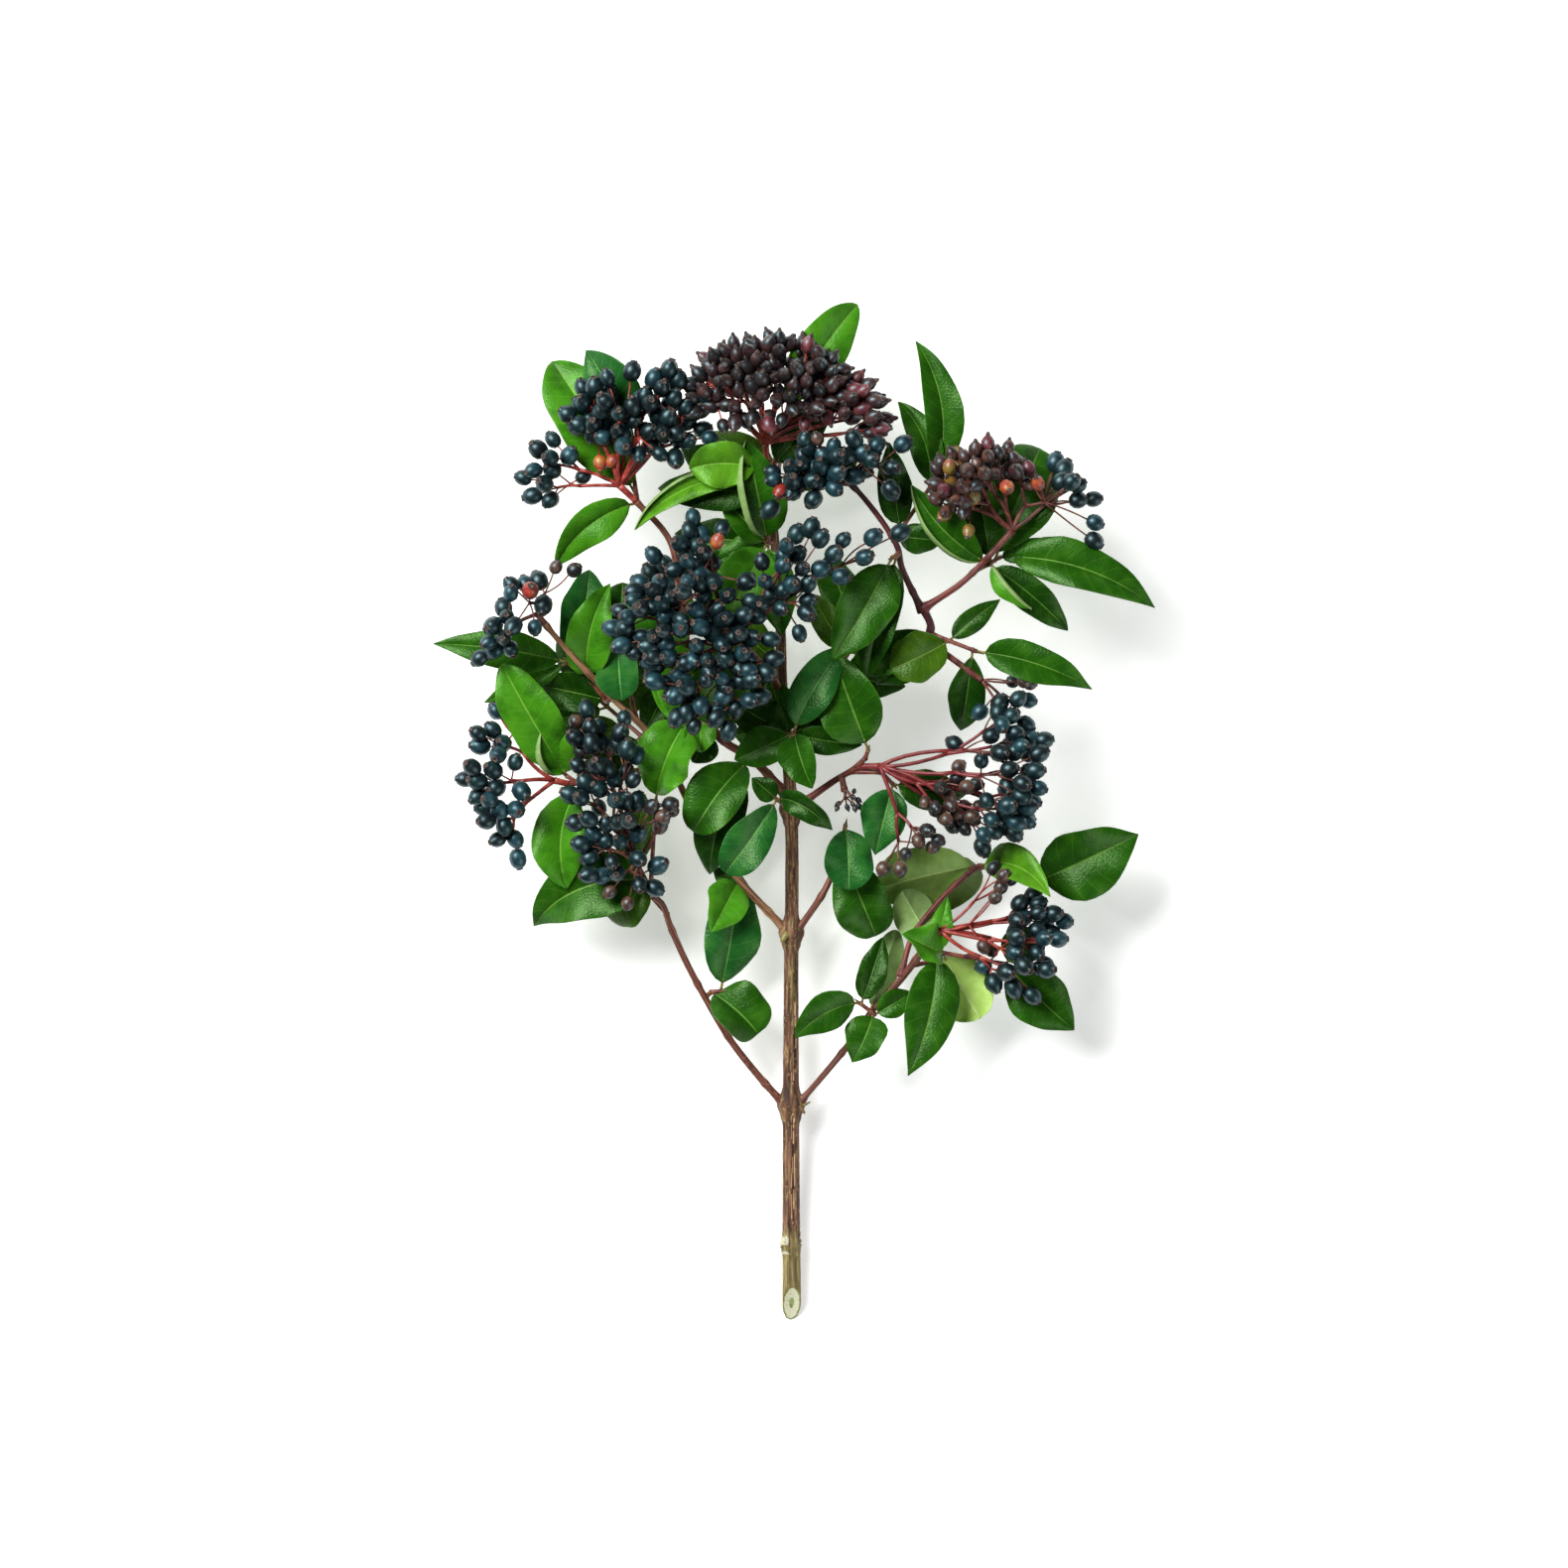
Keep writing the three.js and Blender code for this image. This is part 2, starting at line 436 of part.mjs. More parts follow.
// The stem: it tapers to the crown, swells at each node where boughs leave in pairs, carries an old bud
// scar near the foot, and ends in the slanted cut
function stemRadius(point, share) {
  const taper = THREE.MathUtils.lerp(STEM_FOOT_RADIUS, STEM_TOP_RADIUS, share);
  const bump = (y, height, reach) => height * Math.exp(-(((point.y - y) / reach) ** 2));
  const nodes = STEM_NODES.reduce((sum, y) => sum + bump(y, NODE_SWELLING, NODE_REACH), 0);
  return taper + nodes + bump(SCAR.y, SCAR.height, SCAR.reach);
}
function stem(grow) {
  const normal = vector(CUT.normal).normalize();
  const depth = 5 * STEM_FOOT_RADIUS;
  const waste = new THREE.BoxGeometry(2 * depth, 2 * depth, depth);
  waste.applyQuaternion(new THREE.Quaternion().setFromUnitVectors(UP, normal));
  const centre = vector(CUT.at).addScaledVector(normal, depth / 2);
  waste.translate(centre.x, centre.y, centre.z);
  return limb(stemAxis, stemRadius, STEM_SIDES, grow).subtract(solidOf(waste));
}
addNode(STEM.name, stem(0), barkMaterial);
placed.push(stem(CLEARANCE));

// The boughs: each starts at the skin of the limb that carries it
BOUGHS.forEach(({ name, foot, tip }, index) => {
  const radiusAt = (point, share) => THREE.MathUtils.lerp(foot, tip, share);
  const bough = (grow) => limb(boughAxes[index], radiusAt, BOUGH_SIDES, grow);
  addNode(name, cutBack(bough(0)), twigBarkMaterial);
  placed.push(bough(CLEARANCE));
});

// The berry clusters: a stalk to the hub, rays that fork towards the berries, and the berries
CLUSTERS.forEach(({ name, root, hub, lobes, unripe }, index) => {
  const random = seededSeries(index + 1);
  const centre = vector(hub);
  const pieces = [twig(0, vector(root), centre)];
  const place = {
    ray(from, to) {
      pieces.push({ needed: true, ways: [(grow) => stalk([from, to], RAY_RADIUS, 3, grow)] });
    },
    berry(from, at) {
      pieces.push({ ways: [(grow) => berry(from, at, grow)] });
    },
  };
  lobes.forEach((lobe) => forkRays(centre, dealBerries(lobe, centre, random), place));
  addMass(name, pieces, unripe ? unripeMaterial : ripeMaterial);
});

// The leafy shoots
SHOOTS.forEach(({ name, foot, tip, leaves }) => {
  const start = vector(foot);
  const end = vector(tip);
  const pieces = [twig(TWIG_INSET, start, end)];
  leaves.forEach(([share, ...shape]) => pieces.push(leafPiece(start.clone().lerp(end, share), shape)));
  addMass(name, pieces, leafMaterial);
});

// The shoots that face the table: leaves in pairs, the size and turn of each dealt by the seeded series
BACK_SHOOTS.forEach(({ name, foot, tip, pairs, length, reach }, index) => {
  const random = seededSeries(100 + index);
  const start = vector(foot);
  const end = vector(tip);
  const middle = start.clone().lerp(end, 0.5);
  const along = THREE.MathUtils.radToDeg(Math.atan2(end.y - start.y, end.x - start.x));
  const pieces = [twig(TWIG_INSET, start, end)];
  for (let pair = 0; pair < pairs; pair++) {
    const at = start.clone().lerp(end, (pair + 1) / pairs);
    [-1, 1].forEach((side) => {
      const heading = along + side * PAIR_SPREAD * (1.3 - (0.6 * (pair + 1)) / pairs);
      const size = length * (0.85 + 0.3 * random());
      const rise = BACK_RISE + BACK_SWING * (random() - 0.5);
      const shape = [heading, size, size * BACK_WIDTH_SHARE, rise, BACK_SWING * (random() - 0.5)];
      const { min, max } = leaf(at, shape).boundingBox();
      const furthest = Math.max(middle.distanceTo(vector(min)), middle.distanceTo(vector(max)));
      if (min[2] < 0 || furthest > reach) return;
      pieces.push(leafPiece(at, shape));
    });
  }
  addMass(name, pieces, leafMaterial);
});

export default group;
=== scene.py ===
import math

import bmesh
import bpy
import numpy as np
from mathutils import Matrix, Vector, noise


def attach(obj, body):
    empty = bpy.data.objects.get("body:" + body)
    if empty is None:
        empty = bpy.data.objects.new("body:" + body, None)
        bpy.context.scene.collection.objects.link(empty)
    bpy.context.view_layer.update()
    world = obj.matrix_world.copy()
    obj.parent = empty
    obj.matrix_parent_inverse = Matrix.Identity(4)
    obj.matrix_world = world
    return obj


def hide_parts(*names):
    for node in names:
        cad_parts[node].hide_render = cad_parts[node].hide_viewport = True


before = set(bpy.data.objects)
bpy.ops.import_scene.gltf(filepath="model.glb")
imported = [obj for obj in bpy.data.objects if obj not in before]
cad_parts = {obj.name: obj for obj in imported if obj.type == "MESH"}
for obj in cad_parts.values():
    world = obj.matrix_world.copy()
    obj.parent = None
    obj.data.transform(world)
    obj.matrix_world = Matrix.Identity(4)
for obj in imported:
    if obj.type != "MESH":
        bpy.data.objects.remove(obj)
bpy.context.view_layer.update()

# The wood: a stem as thick as a pencil with three swollen nodes, and thirteen boughs that leave it or each
# other. Laurustinus bark is thin: grey-brown and furrowed on the stem, smooth and red-brown on the boughs.
# It is all one growth, so stem and boughs share a mesh
MM = 0.001
STEM_RADII = (4.0, 1.75)
STEM_NODES = (-123.5, -50.0, 2.5)
SCAR_AT = -183
SPLIT_ENDS = (-174, -78)
STEM_SIDES, BOUGH_SIDES = 48, 14
STEM_STEP, BOUGH_STEP = 0.7, 0.9
CURVE_STEPS = 40
WOOD_SLOTS = {name: slot for slot, name in enumerate((
    "stem", "brown", "red", "growing layer", "fresh wood", "pith", "callus", "purple", "split", "torn",
    "olive", "tan"))}
STEM_PATH = [(-0.2, -218, 3.9), (-0.6, -155, 9), (-0.6, -75, 20), (-0.6, 2.5, 33), (-4.4, 55, 40),
             (-5.7, 93, 44), (-10.7, 150, 50)]
# A bough has its radius at foot and tip, its bark, and its path in millimetres
BOUGHS = [
    (1.6, 1.3, "brown", [(-3, -124, 13.5), (-13, -113, 16), (-26, -96.5, 19), (-36, -80, 22), (-45, -63, 26),
                         (-52, -47, 31), (-55, -38.5, 34), (-59, -34.5, 37)]),
    (1.3, 1.6, "brown", [(2, -124, 13.5), (23, -99, 20), (35, -82, 25), (46, -70, 29), (56.5, -56, 34)]),
    (1.3, 1.1, "red", [(46, -69, 29), (51, -52, 26), (64, -35, 26), (78, -22, 29)]),
    (1.7, 1.2, "tan", [(-2, -50, 25), (-24.5, -25.5, 28), (-42.5, 2, 30), (-53, 23.5, 32), (-61.5, 35, 34),
                         (-78, 51, 39), (-97, 71.5, 46), (-105, 81, 49)]),
    (1.3, 1.1, "red", [(-52, 23, 31.5), (-68.5, 18, 31), (-83.5, 14.5, 33), (-95, 13, 36)]),
    (1.5, 1.3, "brown", [(1, -51, 25), (13.5, -32.5, 29), (19.5, -19, 32)]),
    (1.9, 1.3, "brown", [(-3, 9, 34), (-17, 23.5, 38), (-31, 33, 41), (-41.5, 55, 45), (-47.5, 93, 49),
                         (-52, 116, 52), (-66, 132.5, 56)]),
    (1.7, 1.2, "red", [(3, 4, 34), (19.5, 15.5, 39), (29, 20.5, 43)]),
    (1.8, 1.6, "purple", [(-3, 48, 40), (26, 59, 44), (49, 67.5, 47), (58.5, 78.5, 50), (55.5, 87, 52)]),
    (1.5, 1.1, "purple", [(55, 86, 52), (46, 105, 58), (44.5, 112.5, 60), (39.5, 121.5, 62), (29, 135, 65),
                          (24, 140, 67)]),
    (1.5, 1.2, "red", [(55, 87, 52), (71.5, 98, 56), (81, 107, 58)]),
    (1.5, 1.3, "red", [(-5, 52, 40), (-9, 59, 55), (-18, 69, 65)]),
    (1.5, 1.2, "brown", [(-1.5, 17, 34), (-9, 42, 24), (-20, 67, 18)]),
]


def unit(vector):
    return vector / np.linalg.norm(vector)


def centreline(path, spacing):
    """Evenly spaced points on a smooth curve through the path, and their distances from its foot."""
    path = np.array(path, float)
    reach = np.vstack([2 * path[0] - path[1], path, 2 * path[-1] - path[-2]])
    fine = []
    t = np.linspace(0, 1, CURVE_STEPS, endpoint=False)[:, None]
    for p0, p1, p2, p3 in zip(reach, reach[1:], reach[2:], reach[3:]):
        d0, d1, d2 = (np.linalg.norm(b - a) ** 0.5 for a, b in ((p0, p1), (p1, p2), (p2, p3)))
        leave = ((p1 - p0) / d0 - (p2 - p0) / (d0 + d1) + (p2 - p1) / d1) * d1
        arrive = ((p2 - p1) / d1 - (p3 - p1) / (d1 + d2) + (p3 - p2) / d2) * d1
        fine.append(p1 * (2 * t**3 - 3 * t**2 + 1) + leave * (t**3 - 2 * t**2 + t)
                    + p2 * (3 * t**2 - 2 * t**3) + arrive * (t**3 - t**2))
    fine = np.vstack(fine + [path[-1:]])
    run = np.r_[0, np.cumsum(np.linalg.norm(np.diff(fine, axis=0), axis=1))]
    along = np.linspace(0, run[-1], max(2, round(run[-1] / spacing)) + 1)
    return np.column_stack([np.interp(along, run, fine[:, axis]) for axis in range(3)]), along


def carried_frames(line):
    """An up-facing and a sideways direction at each point, carried along the line without twisting."""
    tangent = np.gradient(line, axis=0)
    tangent /= np.linalg.norm(tangent, axis=1)[:, None]
    up = np.array([0.0, 0.0, 1.0]) if abs(tangent[0, 2]) < 0.9 else np.array([0.0, 1.0, 0.0])
    ups = np.empty_like(line)
    for i, t in enumerate(tangent):
        up = unit(up - up.dot(t) * t)
        ups[i] = up
    return ups, np.cross(tangent, ups)


def bump(place, middle, reach):
    return math.exp(-(((place - middle) / reach) ** 2))


def grow_limb(bm, line, along, sides, radius_at, material):
    """A closed tube round the line, rolled from a grid whose UV is in metres round and along the limb."""
    ups, across = carried_frames(line)
    rings = len(line) - 1
    grain = bm.loops.layers.uv.get("UVMap") or bm.loops.layers.uv.new("UVMap")
    grid = bmesh.ops.create_grid(bm, x_segments=sides, y_segments=rings, size=0.5, calc_uvs=True)["verts"]
    faces = {face for vert in grid for face in vert.link_faces}
    for vert in grid:
        ring = round((vert.co.y + 0.5) * rings)
        turn = math.tau * round((vert.co.x + 0.5) * sides) / sides
        radius = radius_at(along[ring], turn, line[ring])
        spot = line[ring] + radius * (math.cos(turn) * ups[ring] + math.sin(turn) * across[ring])
        vert.co = Vector(spot) * MM
    girth = math.tau * radius_at(along[rings // 2], 0, line[rings // 2]) * MM
    for face in faces:
        face.material_index = material
        face.smooth = True
        for loop in face.loops:
            u, v = loop[grain].uv
            loop[grain].uv = (u * girth, v * along[-1] * MM)
    bmesh.ops.remove_doubles(bm, verts=grid, dist=1e-7)
    bmesh.ops.holes_fill(bm, edges=[edge for edge in bm.edges if edge.is_boundary])


def bark_grain(turn, distance, radius, depth):
    """Shallow furrows along the limb, with a finer crackle in them."""
    x, y = radius * math.cos(turn), radius * math.sin(turn)
    furrows = noise.noise((1.1 * x, 1.1 * y, 0.07 * distance))
    crackle = noise.noise((3.2 * x, 3.2 * y, 0.5 * distance))
    return depth * (furrows + 0.45 * crackle)


def facing(turn):
    """A turn about the stem as an angle from -pi to pi, 0 on the side that faces up."""
    return (turn + math.pi) % math.tau - math.pi


def split_at(y, turn, width):
    """How deep a place lies in the dry split that runs along the top of the stem, past its lowest node."""
    line = 0.22 + 0.16 * noise.noise((0, 0.3, 0.05 * y)) + (0.25 if y > -110 else 0)
    ends = 1 / (1 + math.exp((SPLIT_ENDS[0] - y) / 2)) / (1 + math.exp((y - SPLIT_ENDS[1]) / 2))
    return bump(facing(turn), line, width) * ends * (1 - bump(y, -121, 8))


def stem_radius(distance, turn, point):
    y = point[1]
    share = distance / stem_along[-1]
    radius = STEM_RADII[0] + (STEM_RADII[1] - STEM_RADII[0]) * share
    sideways = math.sin(turn) ** 2
    for node in STEM_NODES:
        radius += (1.5 + 1.1 * sideways) * bump(y, node, 4.6) + 0.4 * bump(y, node - 6, 1.4)
    scar = 1.2 * bump(y, SCAR_AT, 3.4) * (0.3 + bump(facing(turn), -0.9, 0.8))
    scar += 0.8 * noise.noise((1.5 * turn, 0.8 * y, 0)) * bump(y, SCAR_AT, 4.5)
    return radius + scar - 0.55 * split_at(y, turn, 0.16) + bark_grain(turn, distance, radius, 0.2)


wood = bmesh.new()
stem_line, stem_along = centreline(STEM_PATH, STEM_STEP)
grow_limb(wood, stem_line, stem_along, STEM_SIDES, stem_radius, WOOD_SLOTS["stem"])

# The cut: the stem was taken off on a slant with a sharp blade, so its end shows fresh wet wood, with the
# green growing layer round it and a soft pith in the middle
CUT_AT = Vector((-0.2, -209.6, 3.9)) * MM
CUT_NORMAL = Vector((0.1, -0.53, 0.84)).normalized()
bmesh.ops.bisect_plane(wood, geom=wood.verts[:] + wood.edges[:] + wood.faces[:], plane_co=CUT_AT,
                       plane_no=CUT_NORMAL, clear_outer=True)
cut_face = bmesh.ops.holes_fill(wood, edges=[edge for edge in wood.edges if edge.is_boundary])["faces"]
for thickness, layer in ((0.3, "growing layer"), (0.45, "fresh wood"), (0.4, "pith")):
    bmesh.ops.inset_region(wood, faces=cut_face, thickness=thickness * MM, use_even_offset=False)
    for face in cut_face:
        face.material_index = WOOD_SLOTS[layer]
        face.smooth = False
pith_rim = list({vert for face in cut_face for vert in face.verts})
heart = sum((vert.co for vert in pith_rim), Vector()) / len(pith_rim)
bmesh.ops.scale(wood, verts=pith_rim, vec=(0.38, 0.38, 0.38), space=Matrix.Translation(-heart))
bmesh.ops.translate(wood, verts=pith_rim, vec=-0.35 * MM * CUT_NORMAL)
# Callus is pale where the old bud scar healed. The split is dark down the middle of its groove, between pale
# torn edges, and the bark is still olive near the cut and in a streak above the lowest node
OLIVE_UP_TO, OLIVE_STREAK_AT = -178, -74
for face in wood.faces:
    if face.material_index != WOOD_SLOTS["stem"]:
        continue
    middle = face.calc_center_median() / MM
    ring = min(len(stem_line) - 1, max(0, int(np.searchsorted(stem_line[:, 1], middle.y))))
    turn = math.atan2(middle.x - stem_line[ring, 0], middle.z - stem_line[ring, 2])
    grain_noise = noise.noise((2.0 * middle.x, 0.12 * middle.y, 2.0 * middle.z))
    healed = bump(middle.y, SCAR_AT + 1, 2.6) * bump(turn, -0.9, 0.9) + 0.5 * grain_noise > 0.55
    rim = bump(middle.y, SCAR_AT - 4, 1.2) * bump(turn, -0.7, 0.6) > 0.6
    streak = bump(middle.y, OLIVE_STREAK_AT, 12) * bump(turn, 0.1, 0.25) > 0.35 - grain_noise
    if healed or rim:
        face.material_index = WOOD_SLOTS["callus"]
    elif split_at(middle.y, turn, 0.11) > 0.5:
        face.material_index = WOOD_SLOTS["split"]
    elif split_at(middle.y, turn, 0.26) > 0.45 and grain_noise > -0.15:
        face.material_index = WOOD_SLOTS["torn"]
    elif middle.y < OLIVE_UP_TO + 10 * grain_noise or streak:
        face.material_index = WOOD_SLOTS["olive"]

# The boughs flare where they leave the wood that carries them, and swell a little at every leaf pair
LEAF_PAIRS_APART = 26
limb_lines = [stem_line]
for order, (foot, tip, skin, path) in enumerate(BOUGHS):
    line, along = centreline(path, BOUGH_STEP)
    limb_lines.append(line)

    def bough_radius(distance, turn, point):
        share = distance / along[-1]
        radius = foot + (tip - foot) * share + 0.9 * bump(distance, 0, 4)
        radius += 0.3 * bump(distance, along[-1], 2.5)
        radius += 0.3 * bump((distance + 9 * order) % LEAF_PAIRS_APART, LEAF_PAIRS_APART / 2, 1.6)
        return radius + bark_grain(turn, distance + 50 * order, radius, 0.08)

    grow_limb(wood, line, along, BOUGH_SIDES, bough_radius, WOOD_SLOTS[skin])
bmesh.ops.recalc_face_normals(wood, faces=wood.faces[:])


def channels(colour):
    """The red, green and blue of an sRGB hex colour, from 0 to 255."""
    return [int(colour[i:i + 2], 16) for i in (1, 3, 5)]


def linear(colour):
    """A colour given as sRGB hex, as the linear RGBA that the shaders take."""
    parts = [channel / 255 for channel in channels(colour)]
    return [c / 12.92 if c <= 0.04045 else ((c + 0.055) / 1.055) ** 2.4 for c in parts] + [1.0]


def add_node(material, kind, settings=None, links=None):
    """Adds a node, sets its properties and unlinked inputs, and links the named inputs to outputs."""
    tree = material.node_tree
    node = tree.nodes.new(kind)
    for name, value in (settings or {}).items():
        if isinstance(name, str) and hasattr(node, name):
            setattr(node, name, value)
        else:
            node.inputs[name].default_value = value
    for name, output in (links or {}).items():
        tree.links.new(output, node.inputs[name])
    return node


def new_material(name):
    material = bpy.data.materials.new(name)
    material.use_nodes = True
    material.node_tree.nodes.clear()
    return material


def finish_material(material, colour, height, depth, **settings):
    """Joins a colour, a bump of the given depth in metres and the shader's own settings."""
    relief = add_node(material, "ShaderNodeBump", {"Strength": 1.0, "Distance": depth}, {"Height": height})
    shader = add_node(material, "ShaderNodeBsdfPrincipled",
                      {name.replace("_", " "): value for name, value in settings.items()},
                      {"Normal": relief.outputs["Normal"], "Base Color": colour})
    add_node(material, "ShaderNodeOutputMaterial", links={"Surface": shader.outputs["BSDF"]})
    return material


def ramp(material, factor, *stops):
    """A colour ramp with stops of place and hex colour."""
    node = add_node(material, "ShaderNodeValToRGB", links={"Fac": factor})
    points = node.color_ramp.elements
    while len(points) < len(stops):
        points.new(0.5)
    for point, (place, colour) in zip(points, sorted(stops)):
        point.position = place
        point.color = linear(colour)
    return node.outputs["Color"]


BARK_STREAKS, BARK_SPOTS, BARK_RELIEF = 900.0, 420.0, 0.0004


def bark(name, shadow, middle, light, roughness):
    """Bark with streaks 1 mm wide and some 15 mm long, and pale breathing spots 0.6 mm across."""
    material = new_material(name)
    grain = add_node(material, "ShaderNodeUVMap", {"uv_map": "UVMap"}).outputs["UV"]
    drawn = add_node(material, "ShaderNodeMapping", {"Scale": (1, 0.07, 1)}, {"Vector": grain}).outputs[0]
    streaks = add_node(material, "ShaderNodeTexNoise",
                       {"Scale": BARK_STREAKS, "Detail": 5.0, "Roughness": 0.65},
                       {"Vector": drawn}).outputs["Fac"]
    colour = ramp(material, streaks, (0.36, shadow), (0.49, middle), (0.62, light))
    squat = add_node(material, "ShaderNodeMapping", {"Scale": (1, 0.45, 1)}, {"Vector": grain}).outputs[0]
    cells = add_node(material, "ShaderNodeTexVoronoi", {"Scale": BARK_SPOTS},
                     {"Vector": squat}).outputs["Distance"]
    spots = add_node(material, "ShaderNodeMapRange", {"From Min": 0.16, "From Max": 0.1}, {"Value": cells})
    mixed = add_node(material, "ShaderNodeMix", {"data_type": "RGBA", 7: linear(light)},
                     {0: spots.outputs[0], 6: colour}).outputs[2]
    return finish_material(material, mixed, streaks, BARK_RELIEF, Roughness=roughness, IOR=1.5)


def mottled(name, *tones, size=2.0, roughness=0.6, depth=0.00005, **settings):
    """A plain natural surface in two or three near tones, in patches of the given size in millimetres."""
    material = new_material(name)
    place = add_node(material, "ShaderNodeTexCoord").outputs["Object"]
    patches = add_node(material, "ShaderNodeTexNoise", {"Scale": 1000 / size, "Detail": 4.0},
                       {"Vector": place}).outputs["Fac"]
    stops = [(0.32 + 0.36 * i / (len(tones) - 1), tone) for i, tone in enumerate(tones)]
    return finish_material(material, ramp(material, patches, *stops), patches, depth, Roughness=roughness,
                           **settings)


def new_object(data):
    """An object in the scene, named as its mesh, its lamp or its camera is."""
    made = bpy.data.objects.new(data.name, data)
    bpy.context.scene.collection.objects.link(made)
    return made


def mesh_from(bm, name):
    """A named mesh from a bmesh, which it frees."""
    mesh = bpy.data.meshes.new(name)
    bm.to_mesh(mesh)
    bm.free()
    return mesh


def new_piece(mesh, materials, nodes):
    """A piece of the part, with its materials, hung under the root body; the nodes it stands for are hidden.
    """
    piece = new_object(mesh)
    for material in materials:
        mesh.materials.append(material)
    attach(piece, "root")
    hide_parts(*nodes)


# Bark is matt: its cork cells scatter the light. Young bark holds green under it, and the red and purple
# of the twigs is the plant's own pigment in the shade of the leaves. Fresh wood is wet and pale, the growing
# layer green, the pith spongy and a little green
wood_skins = {
    "stem": bark("stem bark", "#28150e", "#5c3b28", "#936c4d", 0.75),
    "brown": bark("bough bark", "#3a1c14", "#663325", "#94604a", 0.6),
    "red": bark("red twig bark", "#3c1310", "#6d2a24", "#93483a", 0.5),
    "purple": bark("purple twig bark", "#220b10", "#43181d", "#6a3232", 0.5),
    "tan": bark("tan bough bark", "#4a2c1c", "#8a5e40", "#b48c64", 0.6),
    "olive": bark("olive bark", "#4f4526", "#7a6a3c", "#a89a62", 0.7),
    "split": bark("split wood", "#1d120d", "#38231a", "#5a3d2c", 0.85),
    "torn": bark("torn bark", "#8a6a4a", "#b8936c", "#d3b48c", 0.8),
    "growing layer": mottled("green growing layer", "#7f9a4a", "#a5b96a", size=1.0, roughness=0.45),
    "fresh wood": mottled("fresh cut wood", "#dcdcb4", "#efeccf", "#c9d29a", size=1.2, roughness=0.5),
    "pith": mottled("pith", "#8ea35e", "#b9c68a", size=0.6, roughness=0.8),
    "callus": mottled("pale callus", "#8d8a6a", "#c3c0a2", "#dcd9c4", size=0.9, roughness=0.8, depth=0.0002),
}
new_piece(mesh_from(wood, "wood"), [wood_skins[name] for name in WOOD_SLOTS],
          [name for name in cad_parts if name.startswith(("stem", "bough"))])
